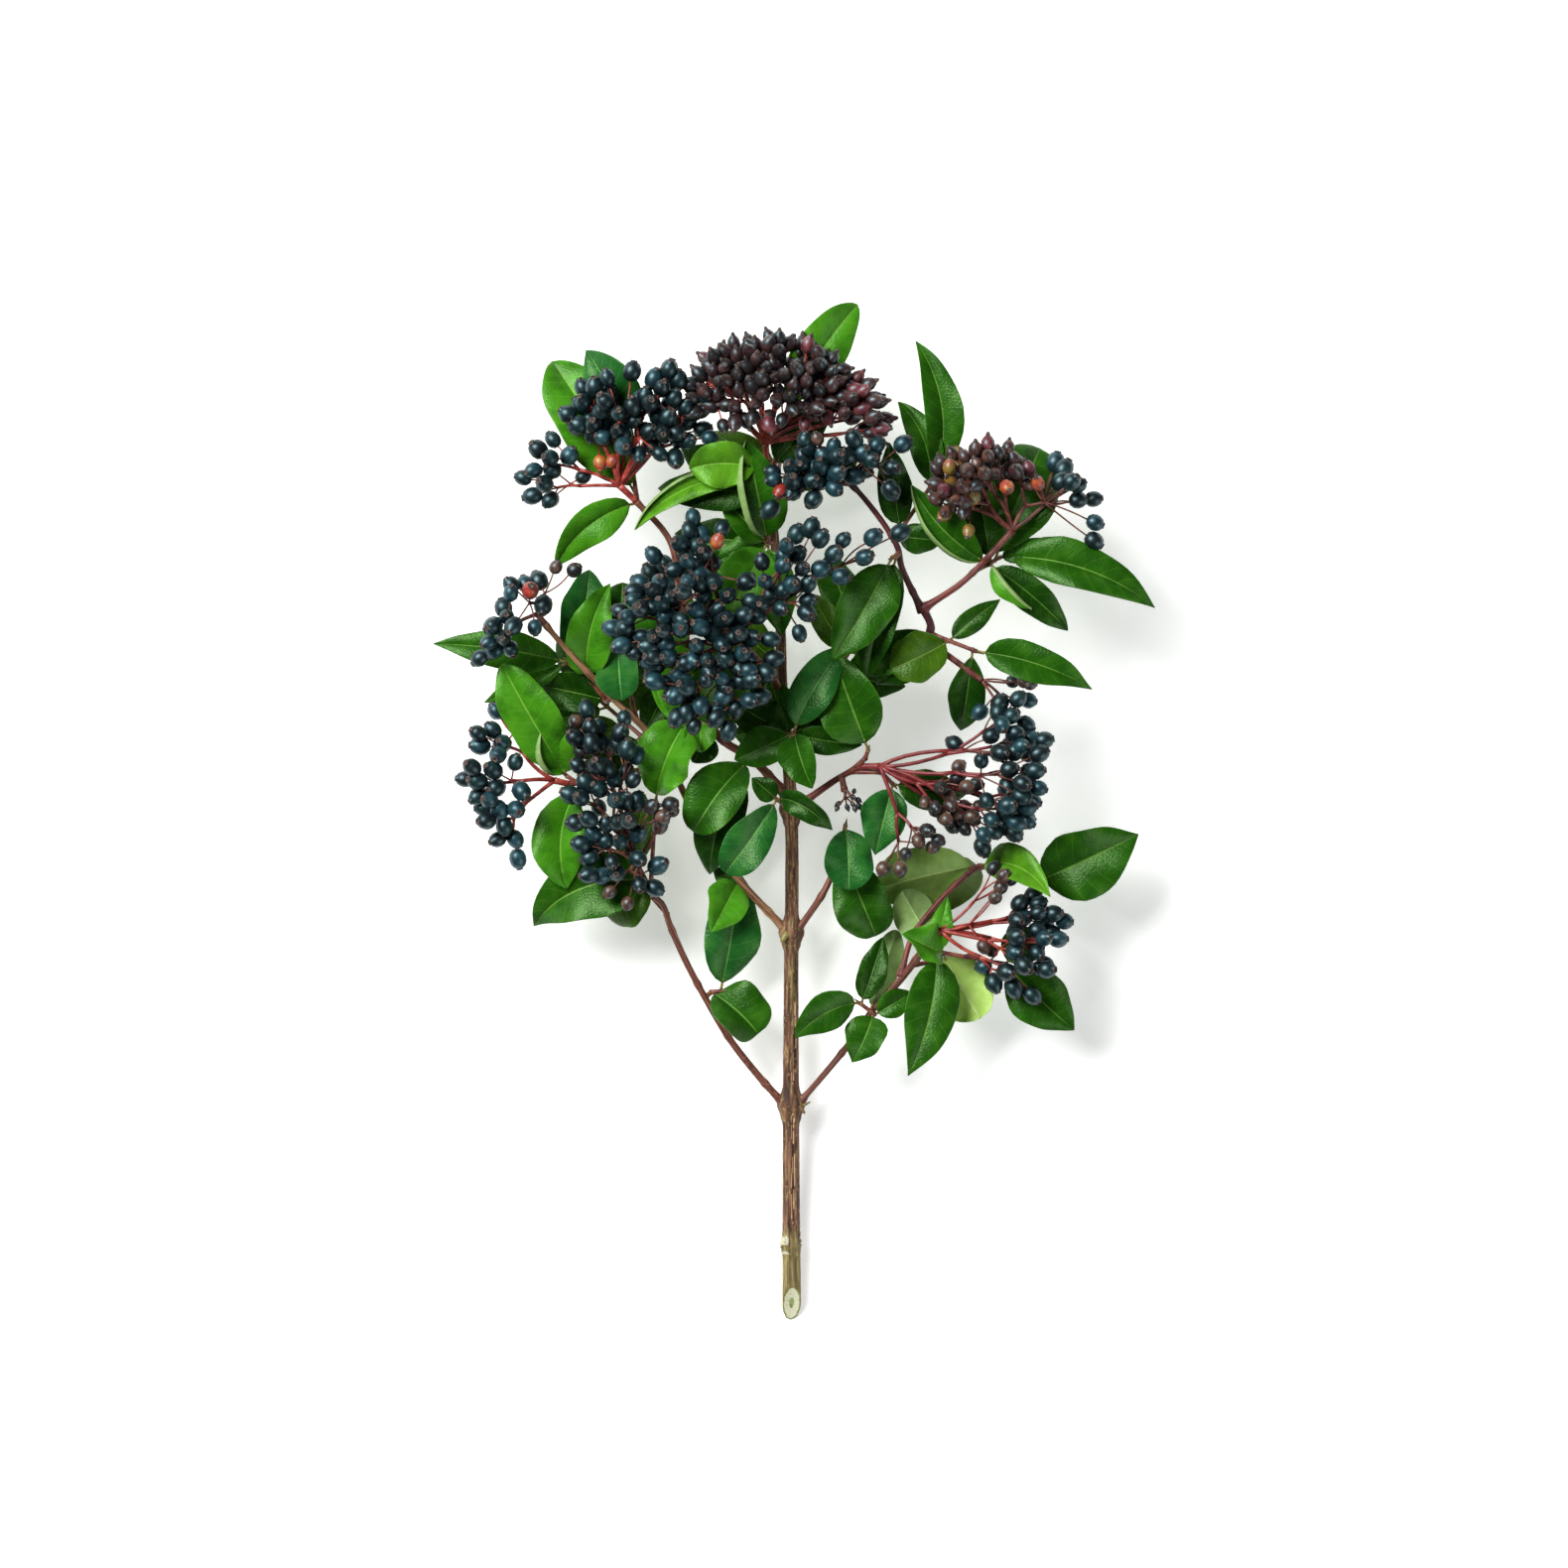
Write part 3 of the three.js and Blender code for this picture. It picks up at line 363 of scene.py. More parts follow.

# The leafy shoots: soft red-brown twigs that spring from the limbs, with leathery leaves in pairs on short
# stalks, a bud in the axil of each leaf and one at the tip. The shoots that show come first

# A shoot has its foot and tip, and each leaf its share of the twig, heading, length, width, rise and roll
# in millimetres and degrees, then its tone and form, and the degrees by which it bends to the left. Tones:
# b bright, m middle, d deep, t blue-green, o olive, y yellow-green, l lime below. The bright and deep tones
# are partly painted light and shade: leaves that rise mostly take the bright one, leaves that lie low behind
# others the deep one. The blue-green tone is a painted sheen, the blue of the window's reflection. Forms:
# f folded, w blunt, n with a narrow base, a arched, c cupped, r and R with the left or right margin rolled in
SHOOTS = {
    "leaves_top_left": [(-65.7, 132, 51), (-70, 163, 50),
        (0.1, 122, 68.2, 31, -8, 10, "bw"), (1, 118, 37.8, 26, 4, -20, "t", 40),
        (0, -141, 44.6, 16.5, -6, -15, "b", 65)],
    "leaves_top": [(-10.5, 115, 50), (-13.5, 146, 62),
        (0, 102, 45.8, 25, 18, -5, "mr"), (1, -180, 30.3, 20, 8, -5, "yw", 40),
        (0.85, -159, 57.4, 13, 0, 25, "yR", 48), (0.7, 178, 46, 18, -14, 0, "d"),
        (0, 138, 27, 17, 5, 20, "m"), (0, -161, 23, 13, -5, 10, "m"), (0, 174, 42, 17, -18, 0, "d"),
        (0.3, 122, 30, 16, -16, 0, "d"), (0, -118, 46.5, 26, 4, 0, "b"), (0, -81, 39.7, 18, -6, 0, "m")],
    "leaves_top_back": [(-9, 144, 45), (-1.5, 174.5, 44),
        (0.9, 56, 53.8, 22, 6, 10, "bw", -22), (0.1, 51, 41, 18, 0, 0, "d")],
    "leaves_far_left": [(-78.5, 48.5, 33), (-95, 64.5, 37),
        (0.5, 77, 43, 20, 10, 0, "bc", -45), (0.9, 80, 42, 22, -6, 10, "t"),
        (1, 172, 57.9, 17, 2, 5, "m", 14), (0, 168, 34, 17, -12, 0, "d"), (1, -155, 42, 9, -18, 0, "m"),
        (0.2, 130, 30, 15, -16, 0, "d")],
    "leaves_left_inner": [(-66.5, 41.5, 30), (-74, 72, 34),
        (1, -86, 25, 19, 20, 10, "tw"), (1, 86, 27, 23, -8, 0, "dw"), (0.5, 56, 50.8, 24, 18, 0, "m")],
    "leaves_left": [(-86.5, 10.5, 30), (-96, 16.5, 34),
        (1, 120, 56, 23.5, 14, -10, "bw"), (1, 112, 25, 25, 20, -15, "br"),
        (0.4, -97, 44.9, 24, 4, 12, "bfn", 45)],
    "leaves_low_left": [(-60.5, -32.5, 31), (-58, 6.5, 34),
        (0.1, -159, 54.4, 29, -10, 5, "m", 62), (0.12, -138, 26, 20, -20, 0, "ow"),
        (1, 70, 34, 27, 16, -20, "bfw")],
    "leaves_low_left_node": [(-34.5, -75.5, 20), (-30.5, -75, 22),
        (1, 81, 51, 24, 3, 15, "t", -6), (0, -41, 27.1, 26, 12, -25, "mfw", 10)],
    "leaves_left_foot": [(-23, -28, 24), (-24, -26.5, 23),
        (0, -118, 29.5, 19, 34, -10, "b"), (0, 158, 12, 9, -12, 0, "d")],
    "leaves_under_centre": [(-29.5, 30.5, 38), (-39.5, 39, 40),
        (0.8, 137, 33, 17, 6, 10, "b"), (1, -86, 13, 14, 14, 0, "bc"), (0.4, -129, 15, 13, -10, 0, "d"),
        (1, 112, 41.3, 24, 14, 0, "b"), (0.5, 79, 43.7, 26, 16, 0, "m")],
    "leaves_top_left_foot": [(-18.5, 23, 36), (-22, 20.5, 36),
        (0, -128, 39, 24, 12, 15, "mw"), (1, -106, 48.7, 21, -10, 0, "d", 22)],
    "leaves_node": [(-3.5, 4, 40), (-6.5, 6.5, 44),
        (1, -125, 38.2, 19, 2, -10, "tw"), (1, -31, 27.3, 11, 14, 20, "da", -95),
        (1, 140, 14, 10, 4, 0, "d")],
    "leaves_centre": [(-1, 33, 44), (0.5, 35, 54),
        (1, 59, 42.9, 18, 0, 0, "t", -18), (1, -72, 25.5, 17, 10, 15, "mf"), (0.6, -9, 30, 12, -4, 10, "d"),
        (0.6, -156, 27, 17, -6, 0, "m"), (0.3, 150, 32, 19, -10, 0, "d"), (0.2, 112, 27, 18, -8, 0, "m"),
        (0.3, 34, 30, 17, -12, 0, "d"), (0.2, 178, 26, 16, -18, 0, "m")],
    "leaves_low_right_node": [(35, -85, 27), (28.5, -80, 30),
        (1, -151, 31.1, 16.5, 6, -15, "m", 65), (0.1, -114, 22.8, 18.5, 8, 10, "m", -20),
        (0, 30, 19, 12, -10, 0, "m"), (0.9, 72, 30, 12.5, -6, 0, "d"), (0.3, 72, 37.8, 13, -18, 180, "mw")],
    "leaves_low_right": [(58, -57.5, 32), (90.5, -63.5, 30),
        (0.1, -103, 54.5, 23, 8, -9, "m", -28), (0.17, -60, 32.7, 26, -8, 180, "lw"),
        (0.2, 155, 24, 18, 35, 30, "bf", -30), (1, -44, 40.7, 25, -4, 10, "m"),
        (1, 50, 20, 17, -14, 0, "d"), (0.1, 120, 30, 18, -10, 180, "mw"), (0.1, 79, 24.2, 10, 12, 0, "b")],
    "leaves_right_foot": [(20, -17, 30), (22.5, -4.5, 36),
        (1, -87, 27.9, 21.5, 10, -10, "tw"), (0.1, -67, 39.3, 24, -6, 0, "mw")],
    "leaves_right": [(79.5, -21.5, 29), (103, -29, 28),
        (0, -167, 45, 26, -6, 175, "ow"), (0.1, -148, 50, 19, -30, 180, "o"),
        (0, -24, 40.5, 17, 38, -15, "yf", -60), (1, 25, 48.7, 31, 6, 10, "m")],
    "leaves_right_behind": [(38, 18, 44), (42.5, 13, 42),
        (1, -104, 31, 20, -2, 0, "t"), (1, -8, 33, 17, -16, 0, "d")],
    "leaves_right_knot": [(60, 76, 50), (78, 69, 53),
        (0.35, -154, 28, 21, 10, -5, "ow"), (1, -18, 51.2, 17, 4, -10, "m", -18),
        (0.35, 39, 28, 10, -6, 0, "d", -10), (0.3, -148, 36, 17, -10, 0, "d"),
        (0.9, -98, 40, 16, -30, 0, "dn"), (0.1, -160, 44, 18, -12, 0, "m")],
    "leaves_top_right": [(83, 106, 56), (88, 109, 52),
        (0, -40, 44.3, 14.5, -8, 0, "d", -12), (1, -18, 68.7, 21, 4, -15, "m", -28),
        (0.1, -49, 27, 10, 16, 40, "br"), (0.8, 17, 25, 10, -2, 0, "d"), (0.5, 68, 53, 31, -12, 0, "mw"),
        (0, 135, 47, 19, 8, -25, "mr", -15), (0.2, 100, 40, 22, -16, 0, "d")],
    "leaves_top_right_back": [(44, 118, 52), (59.5, 140.5, 48),
        (1, 97, 60.4, 16.5, 4, 5, "m", 60), (0.9, 110, 39, 14, -4, 0, "m", 50),
        (0.1, 97, 38, 15, -6, 0, "d"), (0, -6, 20, 13, -8, 0, "d")],
    "leaves_centre_right": [(44, 109.5, 63), (42, 108.5, 66),
        (1, -120, 50, 25, 4, -10, "m"), (0, -104, 54, 17, -8, 10, "d")],
    "leaves_right_upper": [(31, 24, 46), (32, 27.5, 50),
        (1, 110, 46, 27, 8, -10, "m")],
}
# The shoots on the side that faces the table: foot, tip, pairs of leaves, leaf length and reach
BACK_SHOOTS = {
    "leaves_back_left": [(-57, 27, 28), (-86, 52, 12), 4, 38, 52],
    "leaves_back_right": [(14, 52, 38), (34, 86, 14), 4, 34, 48],
    "leaves_back_top": [(-9, 128, 40), (-4, 158, 13), 4, 40, 52],
    "leaves_back_middle": [(-10, 40, 21), (-4, 78, 12), 3, 38, 48],
    "leaves_back_low_left": [(-54, -41, 29), (-78, -16, 14), 3, 32, 42],
    "leaves_back_low_right": [(51, -64, 28), (76, -60, 13), 3, 34, 42],
}
# Places where one sees through the crown, as x, y and radius. Leaves of the back shoots are kept off them
OPEN_PLACES = [(1.5, 61, 9), (9, 72, 9), (-52, -17, 13), (74, -37, 11), (24, 135, 9), (-19, 163, 7),
               (51, 88, 9), (46, 38, 14), (-33, 131, 10), (-72, -42, 9), (20, 22, 8)]
# The foliage is three pieces: the back shoots, those whose names start like these, and the rest
LEFT_SHOOTS = ("leaves_top_left", "leaves_far", "leaves_left", "leaves_low_left", "leaves_under",
               "leaves_node")


def foliage_side(shoot):
    return "left" if shoot.startswith(LEFT_SHOOTS) else "right"


def seeded_series(seed):
    """A function that gives numbers from 0 to 1, the same on every run."""
    state = seed & 0xFFFFFFFF

    def draw():
        nonlocal state
        state = (state + 0x6D2B79F5) & 0xFFFFFFFF
        t = ((state ^ (state >> 15)) * (1 | state)) & 0xFFFFFFFF
        t = ((t + (((t ^ (t >> 7)) * (61 | t)) & 0xFFFFFFFF)) & 0xFFFFFFFF) ^ t
        return ((t ^ (t >> 14)) & 0xFFFFFFFF) / 4294967296
    return draw


def read_template(bm):
    """A template's points as an array, and its faces, turned outwards, as lists of point numbers."""
    bmesh.ops.recalc_face_normals(bm, faces=bm.faces)
    bm.verts.index_update()
    points = np.array([vert.co[:] for vert in bm.verts])
    faces = [[vert.index for vert in face.verts] for face in bm.faces]
    bm.free()
    return points, faces


def joined_mesh(name, copies):
    """One smooth mesh in metres from many copies, each its points in millimetres, faces and materials."""
    points, faces, materials = [], [], []
    base = 0
    for copy_points, copy_faces, copy_materials in copies:
        points.append(copy_points)
        faces += [[base + number for number in face] for face in copy_faces]
        materials += copy_materials
        base += len(copy_points)
    mesh = bpy.data.meshes.new(name)
    mesh.from_pydata((np.vstack(points) * MM).tolist(), [], faces)
    mesh.polygons.foreach_set("material_index", materials)
    mesh.polygons.foreach_set("use_smooth", [True] * len(faces))
    mesh.update()
    return mesh


# A stalk's template is a six-sided tube in five stretches, which are laid along a curve for each stalk
STALK_SIDES, STALK_STRETCHES = 6, 5
bm = bmesh.new()
bmesh.ops.create_grid(bm, x_segments=STALK_SIDES, y_segments=STALK_STRETCHES, size=0.5)
for vert in bm.verts:
    turn = math.tau * (vert.co.x + 0.5)
    vert.co = (math.cos(turn), math.sin(turn), vert.co.y + 0.5)
bmesh.ops.remove_doubles(bm, verts=bm.verts, dist=1e-4)
bmesh.ops.holes_fill(bm, edges=[edge for edge in bm.edges if edge.is_boundary])
stalk_points, stalk_faces = read_template(bm)
stalk_ring = np.rint(stalk_points[:, 2] * STALK_STRETCHES).astype(int)


def stalk(start, end, foot_radius, tip_radius, swell=0.0, bow=(0, 0, 0)):
    """A stalk's points: a curve from start to end that swells at both ends and bows out by a vector."""
    start, end, bow = (np.array(p, float) for p in (start, end, bow))
    t = np.linspace(0, 1, STALK_STRETCHES + 1)[:, None]
    line = start + (end - start) * t + bow * 4 * t * (1 - t)
    ups, across = carried_frames(line)
    radii = foot_radius + (tip_radius - foot_radius) * t + swell * (2 * t - 1) ** 6
    spokes = stalk_points[:, :1] * ups[stalk_ring] + stalk_points[:, 1:2] * across[stalk_ring]
    return line[stalk_ring] + radii[stalk_ring] * spokes


def add_stalk(copies, slot, *shape):
    copies.append((stalk(*shape), stalk_faces, [slot] * len(stalk_faces)))


def nearest_on_limbs(point, inset):
    """The nearest place on a limb's axis, about an inset in millimetres or more back from its tip."""
    limb_step = (STEM_STEP + BOUGH_STEP) / 2
    spots = np.vstack([line[: max(1, len(line) - round(inset / limb_step))] for line in limb_lines])
    return spots[np.argmin(np.linalg.norm(spots - point, axis=1))]


# The leaves: leathery blades about 0.5 mm thick, glossy above and dull below. A blade has a pale midrib,
# seven pairs of sunken veins with the leaf raised between them, and a margin in the veins' tone. Its template
# is a grid with a row for each vein and each raised stretch, given its thickness and rim by solidify
VEIN_PAIRS = 7
BLADE_ROWS = [0, 0.03]
VEIN_ROWS = set()
for pair in range(VEIN_PAIRS):
    middle = 0.075 + 0.85 * (pair / VEIN_PAIRS) ** 0.93
    VEIN_ROWS.add(len(BLADE_ROWS))
    BLADE_ROWS += [middle, middle + 0.008, middle + 0.06]
BLADE_ROWS += [0.92, 0.965, 1]
BLADE_COLUMNS = [-1, -0.965, -0.8, -0.52, -0.25, -0.03, 0, 0.03, 0.25, 0.52, 0.8, 0.965, 1]
BLADE_THICKNESS = 0.5
STALK_SHARE = 0.07
SPINE_POINTS = 61
VEIN_SUNK, CELL_RAISED, MIDRIB_SUNK = 0.1, 0.13, 0.22
FOLDED, ARCHED = 36, 95
bm = bmesh.new()
bmesh.ops.create_grid(bm, x_segments=len(BLADE_ROWS) - 1, y_segments=len(BLADE_COLUMNS) - 1, size=0.5)
bmesh.ops.solidify(bm, geom=bm.verts[:] + bm.edges[:] + bm.faces[:], thickness=0.1)
blade_points, blade_faces = read_template(bm)
blade_row = np.rint((blade_points[:, 0] + 0.5) * (len(BLADE_ROWS) - 1)).astype(int)
blade_column = np.rint((blade_points[:, 1] + 0.5) * (len(BLADE_COLUMNS) - 1)).astype(int)
blade_under = blade_points[:, 2] < blade_points[:, 2].mean()
blade_u = np.array(BLADE_ROWS)[blade_row]
blade_v = np.array(BLADE_COLUMNS)[blade_column]
blade_zones = []
for face in blade_faces:
    under = blade_under[face].sum()
    middle = abs(blade_v[face].mean())
    if 0 < under < 4:
        blade_zones.append("vein")
    elif under:
        blade_zones.append("under line" if middle < 0.03 else "under")
    elif middle < 0.03:
        blade_zones.append("line")
    else:
        blade_zones.append("vein" if min(blade_row[face]) in VEIN_ROWS or middle > 0.965 else "blade")


def turned(points, roll, rise, heading):
    """Points turned by roll about +X, then raised, then turned to their heading, all in degrees."""
    a, b, c = (math.radians(angle) for angle in (roll, rise, heading))
    about_x = np.array([[1, 0, 0], [0, math.cos(a), -math.sin(a)], [0, math.sin(a), math.cos(a)]])
    about_y = np.array([[math.cos(b), 0, -math.sin(b)], [0, 1, 0], [math.sin(b), 0, math.cos(b)]])
    about_z = np.array([[math.cos(c), -math.sin(c), 0], [math.sin(c), math.cos(c), 0], [0, 0, 1]])
    return points @ (about_z @ about_y @ about_x).T


def spine_frames(length, bend, arch):
    """Places and axes along a leaf's middle line, which turns by bend and falls away by arch, in degrees."""
    t = np.linspace(0, 1, SPINE_POINTS)
    swing = np.radians(bend * (t - 0.5))
    pitch = np.radians(arch * (0.42 - t**1.25))
    ahead = np.column_stack([np.cos(pitch) * np.cos(swing), np.cos(pitch) * np.sin(swing), np.sin(pitch)])
    places = np.vstack([np.zeros(3), np.cumsum((ahead[1:] + ahead[:-1]) / 2, axis=0)])
    places *= length / np.linalg.norm(places[-1])
    across = np.column_stack([-np.sin(swing), np.cos(swing), np.zeros(SPINE_POINTS)])
    return t, places, across, np.cross(ahead, across)


GIVES_WAY_FROM = 3


def off_the_table(points):
    """Points near the table lifted so that none goes below it, as a soft leaf gives way."""
    low = points[:, 2] < GIVES_WAY_FROM
    points[low, 2] = GIVES_WAY_FROM * np.exp((points[low, 2] - GIVES_WAY_FROM) / GIVES_WAY_FROM)
    return points


def blade(foot, shape, form, draw):
    """A leaf blade's points: its outline, then its relief, fold and waves, then its curve and its place."""
    heading, length, width, rise, roll, bend = shape
    base, tip = 0.6 + 0.14 * draw(), 0.92 + 0.22 * draw()
    if "w" in form:
        base, tip = base + 0.08, tip - 0.42
    if "n" in form:
        base += 0.35
    side = np.abs(blade_v)
    u = blade_u + 0.14 * side**1.2 * np.sin(math.pi * blade_u)
    outline = np.clip(u, 0, 1) ** base * np.clip(1 - u, 0, 1) ** tip
    peak = base / (base + tip)
    outline /= peak**base * (1 - peak) ** tip
    fold = math.radians(FOLDED if "f" in form else 14 + 16 * draw())
    lean, ripple, beat = 0.1 * (draw() - 0.5), 0.02 + 0.03 * draw(), 1.6 + 1.4 * draw()
    outline *= 1 + np.sign(blade_v) * (lean + ripple * np.sin(math.tau * beat * blade_u))
    half = (width / 2) * outline / math.cos(fold) ** 0.8 + 0.2
    fade = np.clip(half / (width / 4), 0, 1)
    vein = np.isin(blade_row, list(VEIN_ROWS)) | np.isin(blade_row - 1, list(VEIN_ROWS))
    relief = fade * (np.where(vein, -VEIN_SUNK, CELL_RAISED) * np.clip(side * 5, 0, 1) * (1 - side**2)
                     - MIDRIB_SUNK * np.exp(-((side / 0.06) ** 2)))
    phase = draw() + 0.37 * (blade_v > 0)
    wave = (0.08 + 0.13 * draw()) * half * side**2 * np.sin(math.tau * ((1.1 + 1.1 * draw()) * u + phase))
    y = blade_v * half * math.cos(fold)
    z = side * half * math.sin(fold) * (1.5 if "c" in form else 1)
    z += relief + wave - (0.12 + 0.16 * draw()) * half * side**3
    thickness = np.where(blade_under, BLADE_THICKNESS * (0.7 + 0.9 * np.exp(-((side / 0.07) ** 2)) * fade), 0)
    z -= thickness
    if "r" in form.lower():
        hand = -1 if "R" in form else 1
        beyond = np.clip((hand * blade_v - 0.45) / 0.55, 0, 1)
        curl = 0.15 * half
        edge = 0.45 * half
        rolled_y = hand * (edge * math.cos(fold) + (curl + thickness) * np.sin(3.6 * beyond))
        rolled_z = edge * math.sin(fold) + curl - (curl + thickness) * np.cos(3.6 * beyond)
        y, z = np.where(beyond > 0, rolled_y, y), np.where(beyond > 0, rolled_z, z)
    twist = np.radians((draw() - 0.5) * 44) * (blade_u - 0.4)
    y, z = y * np.cos(twist) - z * np.sin(twist), y * np.sin(twist) + z * np.cos(twist)
    arch = ARCHED if "a" in form else 24 + 42 * draw()
    t, places, across, up = spine_frames(length, bend + 12 * (draw() - 0.5), arch)
    where = STALK_SHARE + (1 - STALK_SHARE) * u
    at, sideways, upward = (np.column_stack([np.interp(where, t, line[:, axis]) for axis in range(3)])
                            for line in (places, across, up))
    return off_the_table(turned(at + sideways * y[:, None] + upward * z[:, None], roll, rise, heading) + foot)


# Every tone of leaf has its blade, its veins and margin, and its line, which is the midrib. The wax is smooth
# but uneven, so highlights are soft and broken. A zone has its share of the pale tone, and its roughness
# The bright and deep tones are partly painted light and shade, and the blue-green tone is a painted sheen
TONES = {"b": "#3f8414", "m": "#215408", "d": "#123a03", "t": "#1c5a22", "o": "#36590b", "y": "#508c18",
         "l": "#24590a"}
ZONES = {"blade": (0.0, 0.34), "vein": (0.12, 0.38), "line": (0.42, 0.42)}
LEAF_PATCHES, LEAF_NET, LEAF_RELIEF = 125.0, 650.0, 0.00006


def mixed_hex(one, other, share):
    return "#" + "".join(f"{round(a + (b - a) * share):02x}" for a, b in zip(channels(one), channels(other)))


def leaf_skin(name, dark, middle, pale, roughness):
    """Leaf wax over cells: patches 8 mm wide, and a fine net of veins 1.5 mm wide that breaks the shine."""
    material = new_material(name)
    place = add_node(material, "ShaderNodeTexCoord").outputs["Object"]
    patches = add_node(material, "ShaderNodeTexNoise", {"Scale": LEAF_PATCHES, "Detail": 4.0},
                       {"Vector": place}).outputs["Fac"]
    net = add_node(material, "ShaderNodeTexVoronoi", {"feature": "DISTANCE_TO_EDGE", "Scale": LEAF_NET},
                   {"Vector": place}).outputs["Distance"]
    raised = add_node(material, "ShaderNodeMapRange", {"From Max": 0.3}, {"Value": net}).outputs[0]
    tones = ramp(material, patches, (0.32, dark), (0.5, middle), (0.68, pale))
    return finish_material(material, tones, raised, LEAF_RELIEF, Roughness=roughness, IOR=1.4,
                           Specular_Tint=(0.62, 1.0, 0.45, 1.0))


leaf_materials = []
leaf_slots = {}
for tone, colour in TONES.items():
    for zone, (share, roughness) in ZONES.items():
        pale = mixed_hex(colour, "#b2cf72", share)
        leaf_slots[tone, zone] = len(leaf_materials)
        leaf_materials.append(leaf_skin(f"leaf {zone} {tone}", mixed_hex(pale, "#0c2405", 0.28), pale,
                                        mixed_hex(pale, "#8dbb3e", 0.14), roughness))
# A leaf is dull and paler below. Most tones share one back
for owners, zone, *tones in (
        ("bmdty", "under", "#7a9a55", "#8cac65"), ("bmdty", "under line", "#a0bd78", "#b2ca8c"),
        ("o", "under", "#6a8c3a", "#789a44"), ("o", "under line", "#86a652", "#9cb868"),
        ("l", "under", "#a6cc5e", "#b6d870"), ("l", "under line", "#b8d27c", "#cfe29c")):
    for tone in owners:
        leaf_slots[tone, zone] = len(leaf_materials)
    leaf_materials.append(mottled(f"leaf {zone} {owners}", *tones, size=3.0, roughness=0.6, IOR=1.45))

leaf_copies = {"left": [], "right": [], "back": []}
twig_copies = []
TWIG, LEAF_STALK, BUD = range(3)


def add_leaf(group, at, shape, form, draw):
    """A leaf on its stalk, with a small bud in its axil."""
    points = blade(at, shape, form, draw)
    leaf_copies[group].append((points, blade_faces, [leaf_slots[form[0], zone] for zone in blade_zones]))
    base = points[(blade_row == 1) & (blade_column == len(BLADE_COLUMNS) // 2)].mean(axis=0)
    along = unit(base - at)
    add_stalk(twig_copies, LEAF_STALK, at - 0.8 * along, base + 0.6 * along, 0.85, 0.5, 0.15, (0, 0, -0.25))
    add_stalk(twig_copies, BUD, at, at + 1.6 * along + np.array([0, 0, 1.1]), 0.75, 0.15)


TWIG_INSET = 5


def add_twig(foot, tip):
    """A twig that springs from the nearest limb, runs from foot to tip and ends in a bud. Gives its ends."""
    start, end = np.array(foot, float), np.array(tip, float)
    spring = nearest_on_limbs(start, TWIG_INSET)
    joint = (start - spring) * 0.3
    add_stalk(twig_copies, TWIG, spring, start, 1.35, 1.15, 0.25)
    add_stalk(twig_copies, TWIG, start - 0.1 * joint, end, 1.15, 0.95, 0.2)
    ahead = unit(end - start)
    add_stalk(twig_copies, BUD, end - ahead, end + 3.2 * ahead, 1.0, 0.2)
    return start, end


for number, (name, (foot, tip, *leaves)) in enumerate(SHOOTS.items()):
    draw = seeded_series(500 + number)
    start, end = add_twig(foot, tip)
    for share, heading, length, width, rise, roll, form, *bend in leaves:
        shape = (heading, length, width, rise, roll, bend[0] if bend else 0)
        add_leaf(foliage_side(name), start + (end - start) * share, shape, form, draw)

# Leaves of the back shoots stand in pairs, turned more forward towards the tip, and keep within reach
PAIR_SPREAD = 62
for number, (foot, tip, pairs, length, reach) in enumerate(BACK_SHOOTS.values()):
    draw = seeded_series(100 + number)
    start, end = add_twig(foot, tip)
    along = math.degrees(math.atan2(end[1] - start[1], end[0] - start[0]))
    for pair in range(1, pairs + 1):
        at = start + (end - start) * pair / pairs
        for side in (-1, 1):
            heading = along + side * PAIR_SPREAD * (1.3 - 0.6 * pair / pairs)
            size = length * (0.85 + 0.3 * draw())
            rise = -16 + 20 * (draw() - 0.5)
            roll = 20 * (draw() - 0.5)
            corner = turned(np.array([[size, 0, 0]]), roll, rise, heading)[0] + at - (start + end) / 2
            ahead = np.array([math.cos(math.radians(heading)), math.sin(math.radians(heading))])
            covers = any(np.linalg.norm(at[:2] + ahead * size * part - (x, y)) < radius
                         for part in (0.3, 0.65, 1.0) for x, y, radius in OPEN_PLACES)
            if np.linalg.norm(corner) < reach and not covers:
                shape = (heading, size, size * 0.45, rise, roll, -side * 15)
                add_leaf("back", at, shape, "mdo"[pair % 3], draw)

# Buds that sit right on the stem's nodes: foot, tip, radius and skin
for foot, tip, radius, skin in (((-2.2, -50.4, 27), (-4.7, -54, 28.8), 2.0, LEAF_STALK),
                                ((3.2, -124.4, 16), (5.2, -127.2, 17.6), 1.3, BUD),
                                ((4.2, -124, 15.4), (7.6, -122.4, 16.6), 0.9, BUD)):
    add_stalk(twig_copies, skin, foot, tip, radius, radius * 0.4)

for side, copies in leaf_copies.items():
    shoots = BACK_SHOOTS if side == "back" else [name for name in SHOOTS if foliage_side(name) == side]
    new_piece(joined_mesh("foliage_" + side, copies), leaf_materials, shoots)
# Twigs are smooth and red-brown, leaf stalks greener, and buds have dry scales
twig_skins = [mottled("twig skin", "#53272a", "#7a4036", "#8a5a3c", size=3.0, roughness=0.45, IOR=1.5),
              mottled("leaf stalk skin", "#6d4a2c", "#8a8a44", "#7c5036", size=2.5, roughness=0.45, IOR=1.5),
              mottled("bud scale", "#5b3524", "#7a6a35", size=1.5, roughness=0.5, IOR=1.5)]
new_piece(joined_mesh("twigs", twig_copies), twig_skins, [*SHOOTS, *BACK_SHOOTS])

# The berries: drupes on forked rays, each a stone in a thin skin that keeps the dry crown of its flower at
# the tip. Ripe ones are 6.5 to 8.4 mm wide and blue-black with a dull metallic bloom. Unripe ones are slim,
# pointed and brown-purple, a few of them orange

